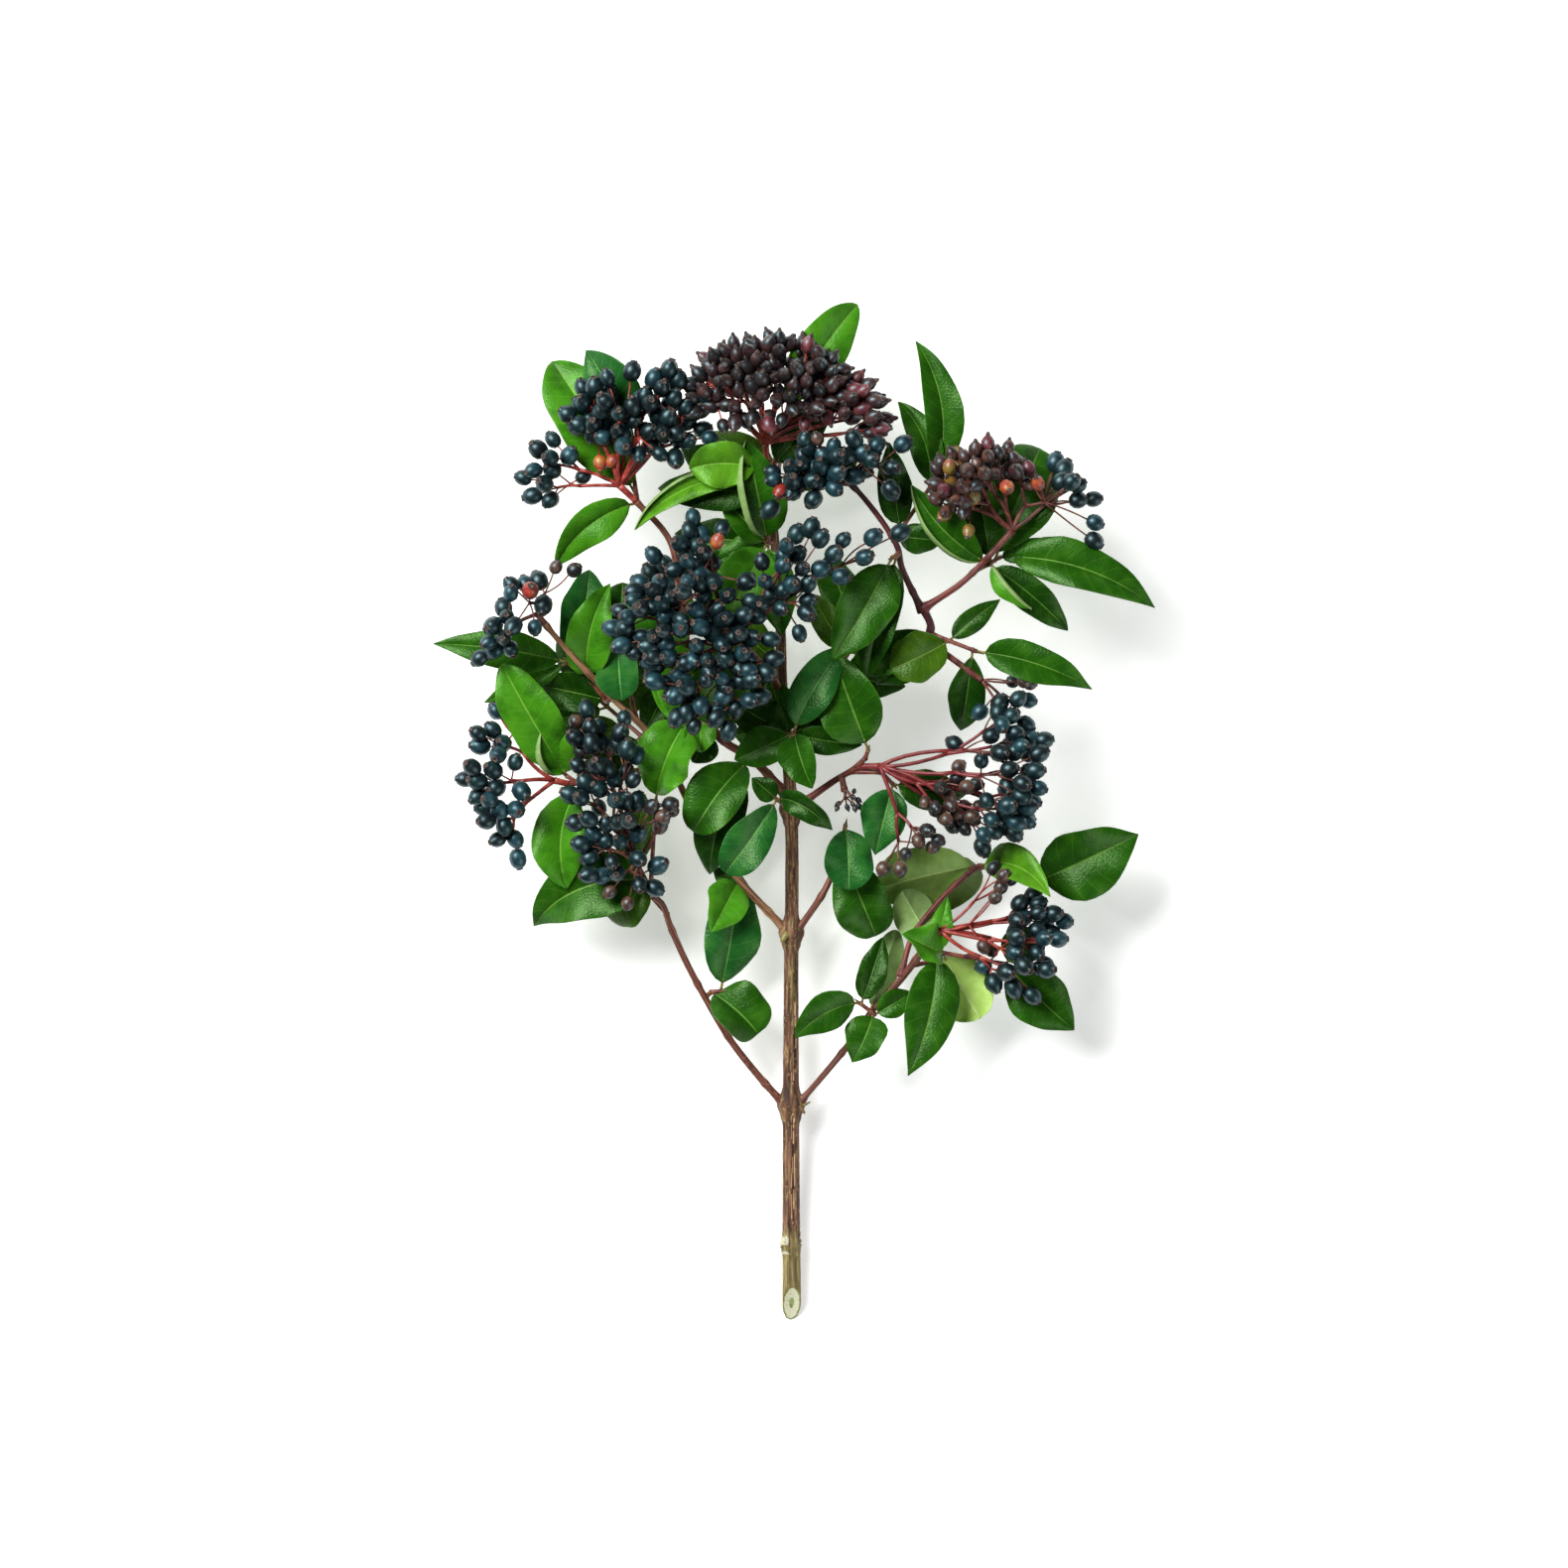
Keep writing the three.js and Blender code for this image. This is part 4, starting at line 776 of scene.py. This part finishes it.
# A cluster has its root, its hub, the skin of its rays, and its lobes: the middle and half sizes of an
# ellipsoid whose outer shell the berries cover, its turn in degrees, their number and their kind
CLUSTERS = {
    "berries_top": [(-10.8, 151, 50), (-11.5, 157, 54), "red",
        ((-10, 178, 62), (34, 24, 19), 2, 168, "unripe"), ((25, 170, 62), (16, 14, 12), -30, 32, "pink")],
    "berries_top_left": [(-67, 133.5, 56), (-73, 139, 58), "red",
        ((-66, 165, 60), (29, 19, 9), 4, 30, "ripe")],
    "berries_top_centre": [(23, 141, 67), (12, 140, 69), "brown",
        ((15, 147, 72), (24, 11, 8), 8, 16, "ripe")],
    "berries_centre": [(-19, 70, 66), (-24.5, 76, 71), "brown",
        ((-40, 68, 80), (28, 28, 9), 0, 30, "ripe")],
    "berries_top_right": [(82, 108, 58.5), (93, 120, 62), "brown",
        ((82, 138, 66), (24, 20, 17), 0, 64, "ripening")],
    "berries_far_left": [(-106, 82.5, 50), (-108, 85, 52), "brown"],
    "berries_left": [(-96, 13, 36.5), (-101, 14.5, 38), "red"],
    "berries_low_left": [(-60, -34.5, 38), (-66.5, -20.5, 44), "brown",
        ((-76, 4, 44), (13, 40, 8), -4, 8, "ripe")],
    "berries_right": [(30, 21, 44), (37, 20.5, 47), "bright",
        ((91, 20, 48), (14, 34, 14), 0, 22, "ripe"), ((66, 6, 44), (15, 14, 7), 0, 15, "brown")],
    "berries_low_right": [(57.5, -55, 35), (62.5, -49, 37), "red",
        ((98, -55, 34), (14, 22, 10), 0, 12, "ripe")],
    "berries_back": [(-21, 69, 17.5), (-26, 76, 16), "brown",
        ((-41, 93, 15), (25, 25, 10), 0, 36, "ripe")],
    # The upper berries of the right cluster hang from an umbel of their own, below the right knot
    "right_top_umbel": [(66, 66, 50), (80, 57, 50), "brown"],
    # Flowers that stayed in bud, dark and dry
    "dry_buds": [(21, 13, 43), (22, 10.5, 45), "brown", ((23.3, 6, 47), (6, 5, 4), 0, 9, "bud")],
}
# Single berries that stand out by their place or colour, with their kind
SINGLES = {
    "berries_top_left": [(-81.3, 149, 61, "orange"), (-75.8, 149.9, 62, "orange")],
    "berries_top_centre": [(-4.8, 136.5, 76, "red"), (10.6, 158.1, 80, "brown")],
    "berries_centre": [(-31.7, 114.7, 90, "orange"), (-58, 108.8, 80, "ripe")],
    "berries_top_right": [(127.5, 123.5, 62, "ripe"), (127.1, 115.9, 60, "ripe"), (90.2, 138, 80, "orange"),
                          (103.6, 139.4, 74, "orange"), (74.3, 120, 73, "green"), (64.5, 127, 70, "green")],
    "berries_far_left": [(-110.7, 94.5, 68, "red"), (-92.2, 103.3, 62, "brown"), (-100, 104.5, 62, "brown")],
    "berries_low_left": [(-59.4, 3.4, 60, "brown"), (-51.9, 4.2, 58, "brown"), (-54.8, -0.8, 60, "brown")],
}
# The berries that are seen from above, one by one: cluster, height, how far it domes, kind and places
SEEN = [
    ("berries_centre", 82, 14, "ripe", [(-41.9, 124.8), (-29.8, 120.2), (-43.2, 119), (-38.2, 117.7),
        (-47, 114), (-40.7, 112.7), (-45.3, 110.2), (-37.4, 110.2), (-34, 106), (-44, 106.5),
        (-39.9, 104.4), (-49, 103.1), (-38.6, 101.4), (-32.8, 98.1), (-64.1, 97.7), (-55.7, 97.3),
        (-44, 98.1), (-45.7, 93.5), (-39.4, 96.9), (-37.4, 91.9), (-27.3, 92.3), (-52, 91), (-54.9, 88.5),
        (-58.2, 93.9), (-65.7, 93.9), (-66.1, 90.2), (-58.6, 86.8), (-63.6, 86.4), (-72, 85.6),
        (-69.5, 83.1), (-69.9, 78.9), (-75.3, 78.5), (-71.6, 71.4), (-68.2, 74.3), (-63.2, 75.2),
        (-59.5, 70.6), (-58.6, 75.2), (-54, 77.3), (-59.5, 65.2), (-52, 66.8), (-39.9, 86), (-31.5, 86.4),
        (-27.8, 82.7), (-51.5, 82.3), (-47.4, 82.3), (-47, 78.1), (-38.2, 78.5), (-33.2, 76), (-20.7, 83.9),
        (-15.2, 83.1), (-17.8, 89.8), (-19.8, 98.1), (-23.6, 78.9), (-21.9, 76), (-17.8, 74.3),
        (-9.8, 73.9), (-29.8, 71.8), (-40.3, 71), (-21.1, 67.7), (-42.4, 65.2), (-36.1, 65.2), (-29, 64.7),
        (-8.6, 65.6), (-22.8, 62.2), (-18.6, 60.6), (-11.5, 60.2), (-17.8, 56.4), (-29.4, 57.2),
        (-36.5, 56.4), (-47.8, 58.1), (-44.4, 53.9), (-57.4, 56), (-28.6, 50.6), (-49, 50.1), (-38.6, 46.4),
        (-18.6, 48.1), (-14, 49.7), (-24, 44.7), (-44.9, 43.5), (-31.9, 41), (-41.5, 37.6), (-26.9, 36)]),
    ("berries_centre", 80, 10, "ripe", [(-12.3, 89), (-12.8, 106.1), (-11.5, 98.2), (-9.4, 92.7),
        (-5.2, 86.9), (-0.6, 96.9), (-4.4, 94.4), (6.4, 96.9), (3.9, 103.2), (11.5, 103.2), (20.2, 100.3),
        (17.3, 109.4), (1.9, 109.4), (-2.7, 112.8), (1.4, 117.8), (7.7, 119.9), (11.5, 115.7),
        (21.1, 115.3), (29.8, 108.2), (-4.4, 104.4), (-4, 108.2), (6, 90.2), (5.6, 85.2), (2.7, 76.9),
        (33.6, 116.5), (44.9, 118.6)]),
    ("berries_top_centre", 72, 10, "ripe", [(5.2, 157.7), (17.3, 155.1), (26.1, 157.7), (35.3, 155.6),
        (46.2, 156), (32.8, 149.3), (23.6, 151), (18.6, 150.6), (12.7, 151), (12.3, 146.4), (7.7, 146),
        (0.6, 146), (18.6, 143.9), (-7.8, 141.4), (-0.2, 140.5), (7.7, 140.5), (0.2, 136.3), (9, 133.4),
        (17.3, 137.6), (-9, 129.2), (41.6, 146.4), (41.2, 137.6)]),
    ("berries_top_left", 64, 12, "ripe", [(-67.7, 186.6), (-77.9, 183.6), (-83.5, 179.7), (-88.4, 179.7),
        (-87.8, 173.9), (-94.8, 169), (-89.7, 164.3), (-83.8, 164.4), (-78.6, 173.8), (-81, 170),
        (-73.4, 168.8), (-79.7, 159.1), (-73.8, 161.5), (-71.4, 155.4), (-67.9, 166.1), (-67.3, 171.5),
        (-60.1, 173), (-62.2, 176.3), (-58.6, 183.2), (-55.3, 179.6), (-52.3, 187.4), (-48.2, 183.2),
        (-42.7, 180.8), (-50.2, 175.7), (-45.4, 171.8), (-52.6, 167.6), (-61, 161.3), (-55, 161),
        (-49.7, 161), (-44.5, 157.7), (-56.2, 152.4), (-49.5, 150.9), (-64.6, 152.4), (-36.5, 176.6),
        (-35.3, 159.2)]),
    ("berries_low_left", 48, 14, "ripe", [(-87.1, 44.1), (-85.4, 36.8), (-81.9, 37.1), (-92, 32.5),
        (-85, 29.5), (-90.6, 20.6), (-82.6, 20.6), (-78.4, 19.3), (-73.1, 34), (-70, 27.4), (-66.2, 24.9),
        (-67.6, 14.4), (-70.3, 17.9), (-75.6, 14.8), (-87.1, 12.7), (-81.5, 10.6), (-93.4, 8.1),
        (-89.2, 7.1), (-66.2, 5.3), (-71.4, 5.7), (-74.9, 6), (-85.7, -2), (-91.7, -3.4), (-69.3, -2.4),
        (-78.7, -4.5), (-74.2, -3.4), (-65.5, -8.3), (-84.3, -8), (-72.8, -11.5), (-89.2, -12.5),
        (-85.7, -18.1), (-76.3, -19.8), (-74.2, -24.7), (-85.7, -25.4), (-80.1, -25.8), (-65.5, -18.4),
        (-57.4, -21.8), (-64.8, -29.3), (-58.5, -31)]),
    ("berries_low_left", 46, 3, "brown", [(-91.9, 39.5), (-89.7, 26.7), (-77.4, -32.5), (-69.7, -37.4),
        (-61, 2.9), (-52.2, 4.6), (-50.5, 1.5), (-55, -2.4), (-56.1, -5.2)]),
    ("berries_left", 40, 12, "ripe", [(-125.6, 43.8), (-119.1, 43.3), (-132.9, 34.4), (-126.8, 35.6),
        (-122.9, 30.1), (-131.7, 29.1), (-124.4, 25.6), (-117.4, 22.1), (-135, 19.7), (-126.2, 18.6),
        (-138.6, 15), (-132.9, 14.2), (-115, 10.3), (-125.4, 11.5), (-132.9, 8), (-128, 6.2), (-130.9, 2.9),
        (-117, 2.4), (-123.9, 1.5), (-129.1, -2.6), (-122.1, -4.6), (-124.4, -10.3), (-117.7, -10),
        (-116.6, -18.1)]),
    ("berries_far_left", 56, 11, "ripe", [(-118.6, 97), (-113, 97.3), (-107.2, 98.8), (-118.9, 93.1),
        (-105.3, 89), (-122.1, 87.3), (-120.6, 83.5), (-126.2, 80), (-117.4, 80), (-108.9, 79.3),
        (-121.7, 74.7), (-128, 72.9), (-125.6, 70.2), (-132.1, 66.4), (-119.1, 70.2)]),
    ("berries_top_left", 58, 9, "ripe", [(-100.9, 158.1), (-107.2, 154.1), (-94.4, 151.4), (-102.1, 150.5),
        (-101.3, 145.5), (-108.9, 145.5), (-113.3, 142.3), (-104.4, 139.6), (-109.4, 134.9),
        (-102.1, 133.5), (-88.8, 142.8)]),
    ("berries_top_right", 60, 8, "ripe", [(111.1, 148.7), (114.4, 145.5), (117.3, 140.2), (120.3, 139),
        (120.3, 132.9), (126.7, 133.4), (113.2, 140.2)]),
    ("berries_low_right", 36, 16, "ripe", [(96.1, -38.1), (103.9, -37.9), (110.3, -42.1), (115.2, -45.2),
        (95.1, -44.7), (106.1, -52.4), (112.3, -52.8), (94.6, -51.9), (93.7, -58.2), (103.2, -58.2),
        (97.6, -63.6), (104.4, -65.1), (90.2, -66.6), (81.4, -64.6), (85.3, -71), (93.7, -72.9),
        (101.5, -76.4), (107.4, -65.6)]),
    ("berries_low_right", 36, 8, "brown", [(89.2, -25.9), (85.3, -23), (88.3, -30.8), (85.8, -35.2),
        (92.4, -27.1), (84.3, -57.5), (80.9, -55.8)]),
    ("berries_right", 44, 22, "ripe", [(83.8, 33.3), (69.1, 29.7), (106.1, 31.5), (87.3, 26.2),
        (96.2, 29.1), (103.8, 25.6), (79.7, 22.7), (91.4, 19.1), (102, 18.6), (96.7, 13.3), (103.8, 11.3),
        (82, 6.2), (90.3, 3.9), (98.5, 3.3), (83.8, -2), (94.4, -3.2), (80.9, -8.5), (85, -6.7),
        (80.3, -13.2), (96.2, 8), (93.2, 33.8)]),
    ("berries_right", 46, 10, "brown", [(69.7, 15.6), (73.8, 11.7), (62.6, 11.5), (56.2, 5.4), (60.3, 3.3),
        (65, -2), (53.2, -10.8), (61.5, -10.8), (47.9, -16.5), (38.5, -22.8), (45.6, -22.8), (59.1, -13.8),
        (56.8, -6.7), (66.2, 8), (70.3, 20.3)]),
    ("right_top_umbel", 46, 10, "ripe", [(99.7, 48.5), (79.7, 43.8), (87.1, 43.8), (88.5, 38.6),
        (98.5, 38.6)]),
    ("right_top_umbel", 46, 6, "brown", [(97.9, 56.2), (93.2, 56.4), (100.3, 55.4)]),
]
# Half of a fruit's outline, as distance from its axis and along it, in radii, with the crown last. Spinning
# it gives the template. A ripe berry's crown is a small open ring, an unripe one's is a point
FRUIT_OUTLINES = {
    "round": ([(0, 0), (0.5, 0.1), (0.86, 0.48), (1, 1.02), (0.93, 1.5), (0.7, 1.92), (0.36, 2.14),
               (0.4, 2.26), (0.24, 2.25), (0.15, 2.12), (0, 2.1)], 2.1),
    "slim": ([(0, 0), (0.42, 0.12), (0.8, 0.55), (0.94, 1.1), (0.84, 1.75), (0.55, 2.25), (0.3, 2.5),
              (0.3, 2.66), (0.16, 2.95), (0, 3.05)], 2.5),
}
FRUIT_SIDES = 10
fruits = {}
for kind, (outline, crown) in FRUIT_OUTLINES.items():
    bm = bmesh.new()
    rim = [bm.verts.new((radius, 0, along)) for radius, along in outline]
    rim_edges = [bm.edges.new(pair) for pair in zip(rim, rim[1:])]
    bmesh.ops.spin(bm, geom=rim + rim_edges, cent=(0, 0, 0), axis=(0, 0, 1), angle=math.tau,
                   steps=FRUIT_SIDES, use_merge=True)
    bmesh.ops.remove_doubles(bm, verts=bm.verts, dist=1e-3)
    points, faces = read_template(bm)
    fruits[kind] = points, faces, [points[face, 2].mean() > crown for face in faces]

# Kind of fruit: its outline, radius, stretch, how closely fruits pack, and the tones dealt out to them
KINDS = {
    "ripe": ("round", 3.8, 1.0, 7.4, ["ripe"] * 6 + ["blue"] * 3 + ["black"] * 3),
    "unripe": ("slim", 3.3, 0.9, 5.8, ["plum"] * 6 + ["dusk"] * 6 + ["rose"]),
    "pink": ("slim", 3.3, 0.95, 6.0, ["rose"] * 3 + ["plum"] * 4),
    "ripening": ("slim", 3.4, 0.85, 6.2, ["rust"] * 5 + ["plum"] * 3 + ["rose", "dusk", "green"]),
    "brown": ("round", 3.1, 0.95, 6.2, ["brown"] * 3 + ["dusk"] * 2),
    "orange": ("slim", 3.2, 0.9, 7, ["orange"]),
    "red": ("round", 3.5, 1.0, 7, ["red"]),
    "green": ("slim", 3.0, 0.9, 7, ["green"]),
    "bud": ("slim", 1.3, 1.0, 2.8, ["dusk"]),
}
# A berry's colours, from the shadow in its skin to the bloom
BERRY_TONES = {
    "ripe": ("#050d0f", "#0b1c20", "#15302f"), "blue": ("#0a191e", "#153038", "#24464e"),
    "black": ("#040607", "#0a1012", "#131d1f"), "plum": ("#1f0f10", "#3a2020", "#55352f"),
    "dusk": ("#150e0f", "#241918", "#3a2a26"), "rose": ("#3f151a", "#662b31", "#83484a"),
    "rust": ("#2a1510", "#4f2d24", "#785040"),
    "orange": ("#7a2a1a", "#a8442a", "#b4762e"), "red": ("#5e1410", "#9c2c1e", "#b8492c"),
    "green": ("#5a3f18", "#86702a", "#8f4a2c"), "brown": ("#2c1a14", "#4f342a", "#74543f"),
}
berry_materials = [mottled("berry skin " + tone, *tones, size=4.0, roughness=0.4, depth=0.0001, IOR=1.7,
                           Specular_Tint=(0.6, 0.92, 1.0, 1.0)) for tone, tones in BERRY_TONES.items()]
berry_slots = {tone: number for number, tone in enumerate(BERRY_TONES)}
berry_slots["crown"] = len(berry_materials)
berry_materials.append(mottled("dry flower crown", "#171210", "#3d322d", "#7d6d64", size=0.7, roughness=0.85,
                               depth=0.0002))

fruit_copies = {"ripe": [], "unripe": []}
ray_copies = []
RAY_SKINS = {"red": 0, "brown": 1, "bright": 2}
# The rounds in which berries push each other apart: those dealt over a shell, and those seen from above
DEALT_ROUNDS, SEEN_ROUNDS = 40, 30
# Berries that are seen pile up until 7 mm apart, but no more than 3 mm over the top of their dome. A third of
# them have another one 8.5 mm below, where there is room above the table
SEEN_SPACING, SEEN_HEADROOM = 7.0, 3
BELOW_SHARE, BELOW_DROP, BELOW_FROM = 0.35, 8.5, 22
# Up to five berries share the end of a ray. A ray with more forks in up to six, one for about nine berries,
# just past half of the way to them. Rays and the berries' own stalks bow out a little
UMBEL, MOST_FORKS, FORK_BERRIES, FORK_AT = 5, 6, 9, 0.55
RAY_BOW, STALK_BOW = 0.12, 0.14


def deal_berries(middle, half, turn, count, kind, hub, draw):
    """Places in the ellipsoid's outer shell, on the side away from the hub, pushed apart until they pack."""
    middle, half = np.array(middle, float), np.array(half, float)
    c, s = math.cos(math.radians(turn)), math.sin(math.radians(turn))
    spun = np.array([[c, -s, 0], [s, c, 0], [0, 0, 1]])
    away = unit((middle - hub) @ spun / half)
    units = []
    while len(units) < count:
        z = 2 * draw() - 1
        angle = math.tau * draw()
        across = math.sqrt(1 - z * z)
        direction = np.array([across * math.cos(angle), across * math.sin(angle), z])
        if direction @ away > -0.3:
            units.append(direction * (1 - 0.35 * draw()))
    units = np.array(units)
    spacing = KINDS[kind][3]
    for _ in range(DEALT_ROUNDS):
        places = units * half
        apart = places[:, None] - places[None]
        distance = np.linalg.norm(apart, axis=2) + 1e-6
        push = np.clip(spacing - distance, 0, None) * (distance > 1e-5)
        places += 0.35 * (apart / distance[..., None] * push[..., None]).sum(axis=1)
        units = places / half
        reach = np.linalg.norm(units, axis=1)
        units *= (np.clip(reach, 0.6, 1.0) / reach)[:, None]
        behind = units @ away + 0.35
        units -= np.where(behind < 0, behind, 0)[:, None] * away
    return [(spun @ place + middle, kind) for place in units * half]


def seen_berries(height, dome, kind, spots, draw):
    """The berries at the given spots on a low dome, one resting on the other, with some more below them."""
    spots = np.array(spots)
    reach = np.linalg.norm(spots - spots.mean(axis=0), axis=1)
    levels = height + dome * (1 - (reach / reach.max()) ** 2) + [4 * draw() - 2 for _ in spots]
    apart = np.linalg.norm(spots[:, None] - spots[None], axis=2)
    wanted = np.sqrt(np.clip(SEEN_SPACING**2 - apart**2, 0, None))
    for _ in range(SEEN_ROUNDS):
        steps = levels[:, None] - levels[None]
        push = np.clip(wanted - np.abs(steps), 0, None) * (apart > 0.01)
        levels = levels + 0.3 * (np.where(steps >= 0, 1, -1) * push).sum(axis=1)
    levels = levels - max(0, levels.max() - height - dome - SEEN_HEADROOM)
    places = np.column_stack([spots, levels])
    below = [place - (0, 0, BELOW_DROP) for place in places if draw() < BELOW_SHARE and place[2] > BELOW_FROM]
    return [(place, kind) for place in [*places, *below]]


def random_bow(start, end, share, draw):
    """A bow to any side, less than the given share of the distance."""
    return share * np.linalg.norm(end - start) * (np.array([draw(), draw(), draw()]) - 0.5)


def add_berry(start, place, kind, skin, draw):
    """A fruit on its own thin stalk, turned to point away from the umbel."""
    outline, radius, stretch, _, tones = KINDS[kind]
    points, faces, crown = fruits[outline]
    size = radius * (0.86 + 0.24 * draw())
    pointing = unit(place - start + np.array([draw(), draw(), draw() + 0.25]) * 2 - 1)
    side = unit(np.cross(pointing, (0.3, 0.1, 0.9)))
    axes = np.array([side, np.cross(pointing, side), pointing])
    foot = place - pointing * size
    local = points * (size, size, size * stretch * (0.95 + 0.12 * draw()))
    tone = tones[int(draw() * len(tones)) % len(tones)]
    materials = [berry_slots["crown" if top else tone] for top in crown]
    placed = off_the_table(foot + local @ axes)
    fruit_copies["ripe" if outline == "round" else "unripe"].append((placed, faces, materials))
    thin_skin = RAY_SKINS["brown" if skin == "bright" else skin]
    bow = random_bow(start, foot, STALK_BOW, draw)
    add_stalk(ray_copies, thin_skin, start, foot + 0.4 * pointing, 0.45, 0.38, 0, bow)


def fork_rays(start, berries, skin, draw, share):
    """A ray part of the way to the middle of its berries, forking on until a few berries share an end."""
    places = np.array([place for place, kind in berries])
    knot = start + (places.mean(axis=0) - start) * share
    if share:
        thick = 0.4 + 0.2 * math.sqrt(len(places))
        bow = random_bow(start, knot, RAY_BOW, draw)
        add_stalk(ray_copies, RAY_SKINS[skin], start, knot, thick, thick * 0.85, 0.15, bow)
    if len(places) <= UMBEL:
        for place, kind in berries:
            add_berry(knot, place, kind, skin, draw)
        return
    order = np.argsort(places[:, int(np.argmax(np.ptp(places, axis=0)))])
    for part in np.array_split(order, min(MOST_FORKS, max(2, round(len(places) / FORK_BERRIES)))):
        fork_rays(knot, [berries[i] for i in part], skin, draw, FORK_AT)


for number, (name, (root, hub, skin, *lobes)) in enumerate(CLUSTERS.items()):
    draw = seeded_series(number + 1)
    hub = np.array(hub, float)
    spring = nearest_on_limbs(np.array(root, float), 0)
    add_stalk(ray_copies, RAY_SKINS[skin], spring, hub, 1.5, 1.6, 0.2)
    groups = [deal_berries(*lobe, hub, draw) for lobe in lobes]
    groups += [seen_berries(*rest, draw) for cluster, *rest in SEEN if cluster == name]
    groups[0] += [(np.array(place), kind) for *place, kind in SINGLES.get(name, [])]
    for berries in groups:
        fork_rays(hub, berries, skin, draw, 0)

# Rays are smooth, red or brown. The right cluster's thick ones are crimson and its thin ones brown
ray_skins = [mottled("red ray skin", "#6a2220", "#9c3830", "#b55646", size=4.0, roughness=0.42, IOR=1.5),
             mottled("brown ray skin", "#43201d", "#6a3730", "#85523f", size=4.0, roughness=0.45, IOR=1.5),
             mottled("bright ray skin", "#5c191d", "#7f282c", "#7c3c30", size=4.0, roughness=0.42, IOR=1.5)]
berry_nodes = [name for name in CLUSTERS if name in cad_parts]
unripe_nodes = ["berries_top", "berries_top_right"]
for kind, copies in fruit_copies.items():
    new_piece(joined_mesh(kind + "_berries", copies), berry_materials,
              [name for name in berry_nodes if (name in unripe_nodes) == (kind == "unripe")])
new_piece(joined_mesh("berry_rays", ray_copies), ray_skins, berry_nodes)

# The table: a plain pale surface that also glows faintly, painted light that lifts the shadows on it, and
# soft light as from a big window on the upper left
floor_bm = bmesh.new()
bmesh.ops.create_grid(floor_bm, x_segments=1, y_segments=1, size=2.5)
floor = new_object(mesh_from(floor_bm, "floor"))
# The floor's glow is painted light: it brightens the shadows that the crown casts on it
glowing_floor = mottled("light table", "#f3f3f1", "#f6f6f5", size=40.0, roughness=0.9, depth=0.00001,
                      Emission_Color=linear("#fbfcfd"), Emission_Strength=0.45)
floor.data.materials.append(glowing_floor)


def area_light(name, place, size, energy):
    light = bpy.data.lights.new(name, "AREA")
    light.size = size
    light.energy = energy
    lamp = new_object(light)
    lamp.location = place
    lamp.rotation_euler = (-Vector(place)).to_track_quat("-Z", "Y").to_euler()


area_light("window", (-1.5, 1.3, 2.2), 1.6, 138)
area_light("room", (1.9, -1.6, 1.5), 1.8, 30)
world = bpy.data.worlds.new("daylight")
world.use_nodes = True
sky = world.node_tree.nodes["Background"].inputs
sky["Color"].default_value = (0.95, 0.98, 1, 1)
sky["Strength"].default_value = 0.06
bpy.context.scene.world = world
bpy.context.scene.view_settings.view_transform = "Standard"

# The camera looks straight down, and takes in a frame 664 mm wide at the height of the crown
LENS, SENSOR, FRAME_WIDTH, CROWN_HEIGHT = 300, 36, 0.6636, 0.05
camera = bpy.data.cameras.new("camera")
camera.lens = LENS
camera.sensor_width = SENSOR
viewpoint = new_object(camera)
viewpoint.location = (-0.0036, 0.013, CROWN_HEIGHT + FRAME_WIDTH * LENS / SENSOR)
bpy.context.scene.camera = viewpoint
